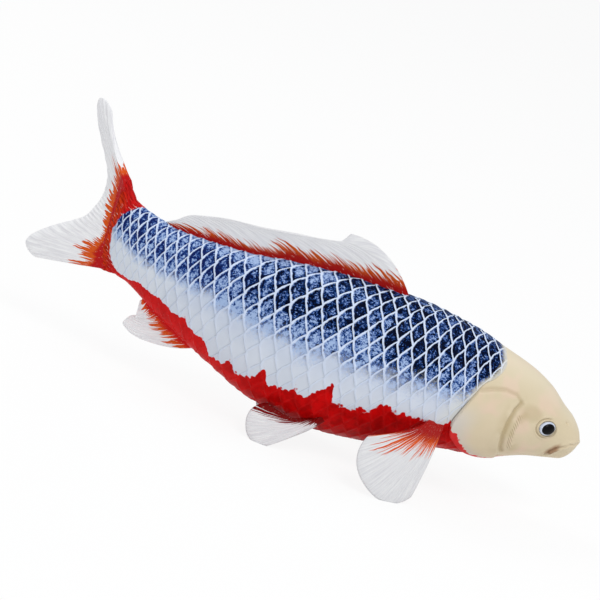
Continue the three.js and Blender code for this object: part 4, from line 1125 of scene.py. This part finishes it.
# Pieces. A fin's strokes are its reach of paint, as (across, share of the fin's length). Its paint
# has the number of strokes, the share of their reach in the root's hue, the reach of the solid
# root, the lightness of the pearl, the hues of tips and root, and the slant of the strokes. The
# pearl's lightness differs from fin to fin: painted light and shade on one pearl. A fin's rays
# have their number, the fin's thickness at root and edge, and their height.
DORSAL_STROKES = [
    (0, 0.3), (0.08, 0.38), (0.18, 0.3), (0.27, 0.42), (0.36, 0.3), (0.44, 0.46), (0.52, 0.32),
    (0.65, 0.34), (0.72, 0.46), (0.8, 0.52), (0.9, 0.85), (1, 1),
]
ANAL_STROKES = [(0, 0.3), (0.15, 0.4), (0.3, 0.36), (0.45, 0.5), (0.6, 0.44), (0.8, 0.56), (1, 0.6)]
TAIL_STROKES = [
    (0, 0.46), (0.05, 0.44), (0.1, 0.26), (0.16, 0.3), (0.2, 0.42), (0.28, 0.38), (0.34, 0.24),
    (0.45, 0.3), (0.55, 0.46), (0.65, 0.5), (0.75, 0.48), (0.85, 0.42), (0.93, 0.38), (1, 0.36),
]
PECTORAL_STROKES = [
    (0, 0.36), (0.12, 0.46), (0.25, 0.42), (0.4, 0.52), (0.55, 0.5), (0.7, 0.66), (0.85, 0.86),
    (0.94, 1.1), (1, 1.4),
]
# The pelvic fin's long dark red strokes along its upper edge are partly painted shadow of the belly.
PELVIC_STROKES_AND_SHADOW = [(0, 0.26), (0.3, 0.3), (0.5, 0.42), (0.65, 0.66), (0.78, 1.1), (0.88, 1.9), (1, 3)]
DORSAL_PAINT = (34, 0.5, 0.19, 232, rgb(192, 78, 18), rgb(160, 6, 4), 0.08)
ANAL_PAINT = (11, 0.45, 0.12, 250, ORANGE, RED)
TAIL_PAINT = (22, 0.24, 0.11, 246, rgb(216, 84, 18), rgb(186, 6, 6))
PECTORAL_PAINT = (19, 0.48, 0.27, 225, rgb(212, 82, 18), rgb(160, 10, 6))
# The pelvic fin's darker reds are partly painted shadow of the belly.
PELVIC_PAINT_AND_SHADOW = (9, 1.1, 0.22, 234, rgb(160, 22, 10), rgb(118, 4, 4))
DORSAL_RAYS, ANAL_RAYS = rayed(19, 2.2, 0.8, 0.16), rayed(8, 2.2, 0.8, 0.28)
TAIL_RAYS = rayed(15, 4.0, 0.9, 0.35)
PECTORAL_RAYS, PELVIC_RAYS = rayed(11, 3.0, 0.8, 0.22), rayed(8, 2.8, 0.8, 0.22)
SIDES = (("right", RIGHT), ("left", LEFT))


def add_middle_fins():
    dorsal = blade("dorsal_blade", 304, 48, edge_fin(True, **DORSAL), DORSAL_RAYS, DORSAL_STROKES)
    dress(dorsal, fin_material("dorsal_paint", *DORSAL_PAINT), "red_tinted_fin", "dorsal_fin")
    anal = blade("anal_blade", 144, 64, edge_fin(False, **ANAL), ANAL_RAYS, ANAL_STROKES)
    dress(anal, fin_material("anal_paint", *ANAL_PAINT), "pearl_fin", "anal_fin")
    tail = blade("tail_blade", 320, 72, tail_middle, TAIL_RAYS, TAIL_STROKES, start=TAIL_TANG)
    dress(tail, fin_material("tail_paint", *TAIL_PAINT), "red_tinted_fin", "tail_fin")


def add_paired_fins():
    pectoral_paint = fin_material("pectoral_paint", *PECTORAL_PAINT)
    pelvic_paint_and_shadow = fin_material("pelvic_paint_and_shadow", *PELVIC_PAINT_AND_SHADOW)
    for name, side in SIDES:
        middle = paired_middle(side, **PECTORAL)
        fin = blade(f"{name}_pectoral_blade", 176, 60, middle, PECTORAL_RAYS, PECTORAL_STROKES, ground=True)
        dress(fin, pectoral_paint, "pearl_fin", f"{name}_pectoral_fin")
        middle = paired_middle(side, **PELVIC)
        fin = blade(f"{name}_pelvic_blade", 128, 48, middle, PELVIC_RAYS, PELVIC_STROKES_AND_SHADOW, ground=True)
        dress(fin, pelvic_paint_and_shadow, "pearl_fin", f"{name}_pelvic_fin")


def add_eyes():
    enamel, black = eye_material(), pupil_material()
    for name, side in SIDES:
        dress(dome(f"{name}_eye_dome", side, **EYE_DOME), enamel, "eye_white", f"{name}_eye")
        dress(dome(f"{name}_pupil_dome", side, **PUPIL_DOME), black, "pupil_black", f"{name}_pupil")


dress(trunk(), trunk_material(), "painted_skin", "right_body_shell", "left_body_shell")
dress(head(), head_material(), "painted_skin", "right_body_shell", "left_body_shell")
add_middle_fins()
add_paired_fins()
add_eyes()

# Stage, light and camera
FLOOR_HALF = 8.0
FLOOR_GREY, WHITE, SKY = (0.9, 0.9, 0.9, 1), (1, 1, 1, 1), (0.96, 0.98, 1.0, 1)
FLOOR_GLOW, SKY_STRENGTH = 0.9, 0.55
# Each lamp has its place and target in metres, its size and its power in watts.
LAMPS = {
    "key": ((0.35, -0.75, 1.15), (0, 0, 0.03), 0.7, 9.0),
    "rim": ((-0.6, 0.6, 1.0), (0, 0, 0.04), 0.6, 4.0),
}
# The camera stands to the fish's right and a little ahead of it, rolled so that the head points
# down. It turns about AIM and looks past it, by millimetres to the right and up.
AIM = np.array([0.0, 0.0, 26.0])
AIM_RIGHT, AIM_UP = -36.6, 34.2
AZIMUTH, ELEVATION, ROLL = math.radians(-8), math.radians(15), math.radians(19.5)
DISTANCE = 800.0
FOCAL_PIXELS, PICTURE_PIXELS = 2348.1, 600.0
SENSOR_WIDTH = 36.0
FARTHEST_SEEN = 50.0


def add_floor():
    """Floor that looks white and still takes the shadow."""
    corners = [(x * FLOOR_HALF, y * FLOOR_HALF, 0) for x, y in ((-1, -1), (1, -1), (1, 1), (-1, 1))]
    mesh = bpy.data.meshes.new("floor")
    mesh.from_pydata(corners, [], [(0, 1, 2, 3)])
    floor = bpy.data.objects.new("floor", mesh)
    bpy.context.scene.collection.objects.link(floor)
    p = Paint(bpy.data.materials.new("floor_white"))
    rays = p.node("ShaderNodeLightPath")
    seen = p.math("MAXIMUM", rays["Is Camera Ray"], rays["Is Glossy Ray"])
    seen = p.math("MAXIMUM", seen, rays["Is Transmission Ray"])
    shade = p.node("ShaderNodeBsdfDiffuse", {"Color": FLOOR_GREY})[0]
    glow = p.node("ShaderNodeEmission", {"Color": WHITE, "Strength": 1.0})[0]
    p.either(p.mul(seen, FLOOR_GLOW), shade, glow)
    mesh.materials.append(p.owner)


def add_sky(scene):
    """Soft light all round, which the camera sees as white."""
    scene.world = bpy.data.worlds.new("studio")
    p = Paint(scene.world, "ShaderNodeOutputWorld")
    light = p.node("ShaderNodeBackground", {"Color": SKY, "Strength": SKY_STRENGTH})[0]
    seen = p.node("ShaderNodeBackground", {"Color": WHITE})[0]
    p.either(p.node("ShaderNodeLightPath")["Is Camera Ray"], light, seen)


def add_lamp(scene, name, position, target, size, power):
    data = bpy.data.lights.new(name, "AREA")
    data.shape = "DISK"
    data.size = size
    data.energy = power
    made = bpy.data.objects.new(name, data)
    made.location = position
    made.rotation_euler = (Vector(target) - Vector(position)).to_track_quat("-Z", "Y").to_euler()
    scene.collection.objects.link(made)


def camera_axes():
    """Directions to the picture's right, up and into it, and the camera's place."""
    level = np.array([math.cos(AZIMUTH), math.sin(AZIMUTH), 0.0])
    back = math.cos(ELEVATION) * np.array([level[1], -level[0], 0.0])
    back[2] = math.sin(ELEVATION)
    lift = np.cross(back, level)
    right = math.cos(ROLL) * level + math.sin(ROLL) * lift
    up = -math.sin(ROLL) * level + math.cos(ROLL) * lift
    place = AIM + DISTANCE * back
    look = unit(AIM + AIM_RIGHT * right + AIM_UP * up - place)
    right = unit(right - look * (right @ look))
    return right, np.cross(right, look), look, place


def add_camera(scene):
    right, up, look, place = camera_axes()
    camera = bpy.data.cameras.new("camera")
    camera.sensor_width = SENSOR_WIDTH
    camera.lens = SENSOR_WIDTH * FOCAL_PIXELS / PICTURE_PIXELS
    camera.clip_end = FARTHEST_SEEN
    view = bpy.data.objects.new("camera", camera)
    turn = Matrix((right, up, -look)).transposed().to_4x4()
    view.matrix_world = Matrix.Translation(Vector((place + ORIGIN) / MILLIMETRES_IN_METRE)) @ turn
    scene.collection.objects.link(view)
    scene.camera = view


scene = bpy.context.scene
add_floor()
add_sky(scene)
for name, settings in LAMPS.items():
    add_lamp(scene, name, *settings)
add_camera(scene)
scene.view_settings.view_transform = "Standard"
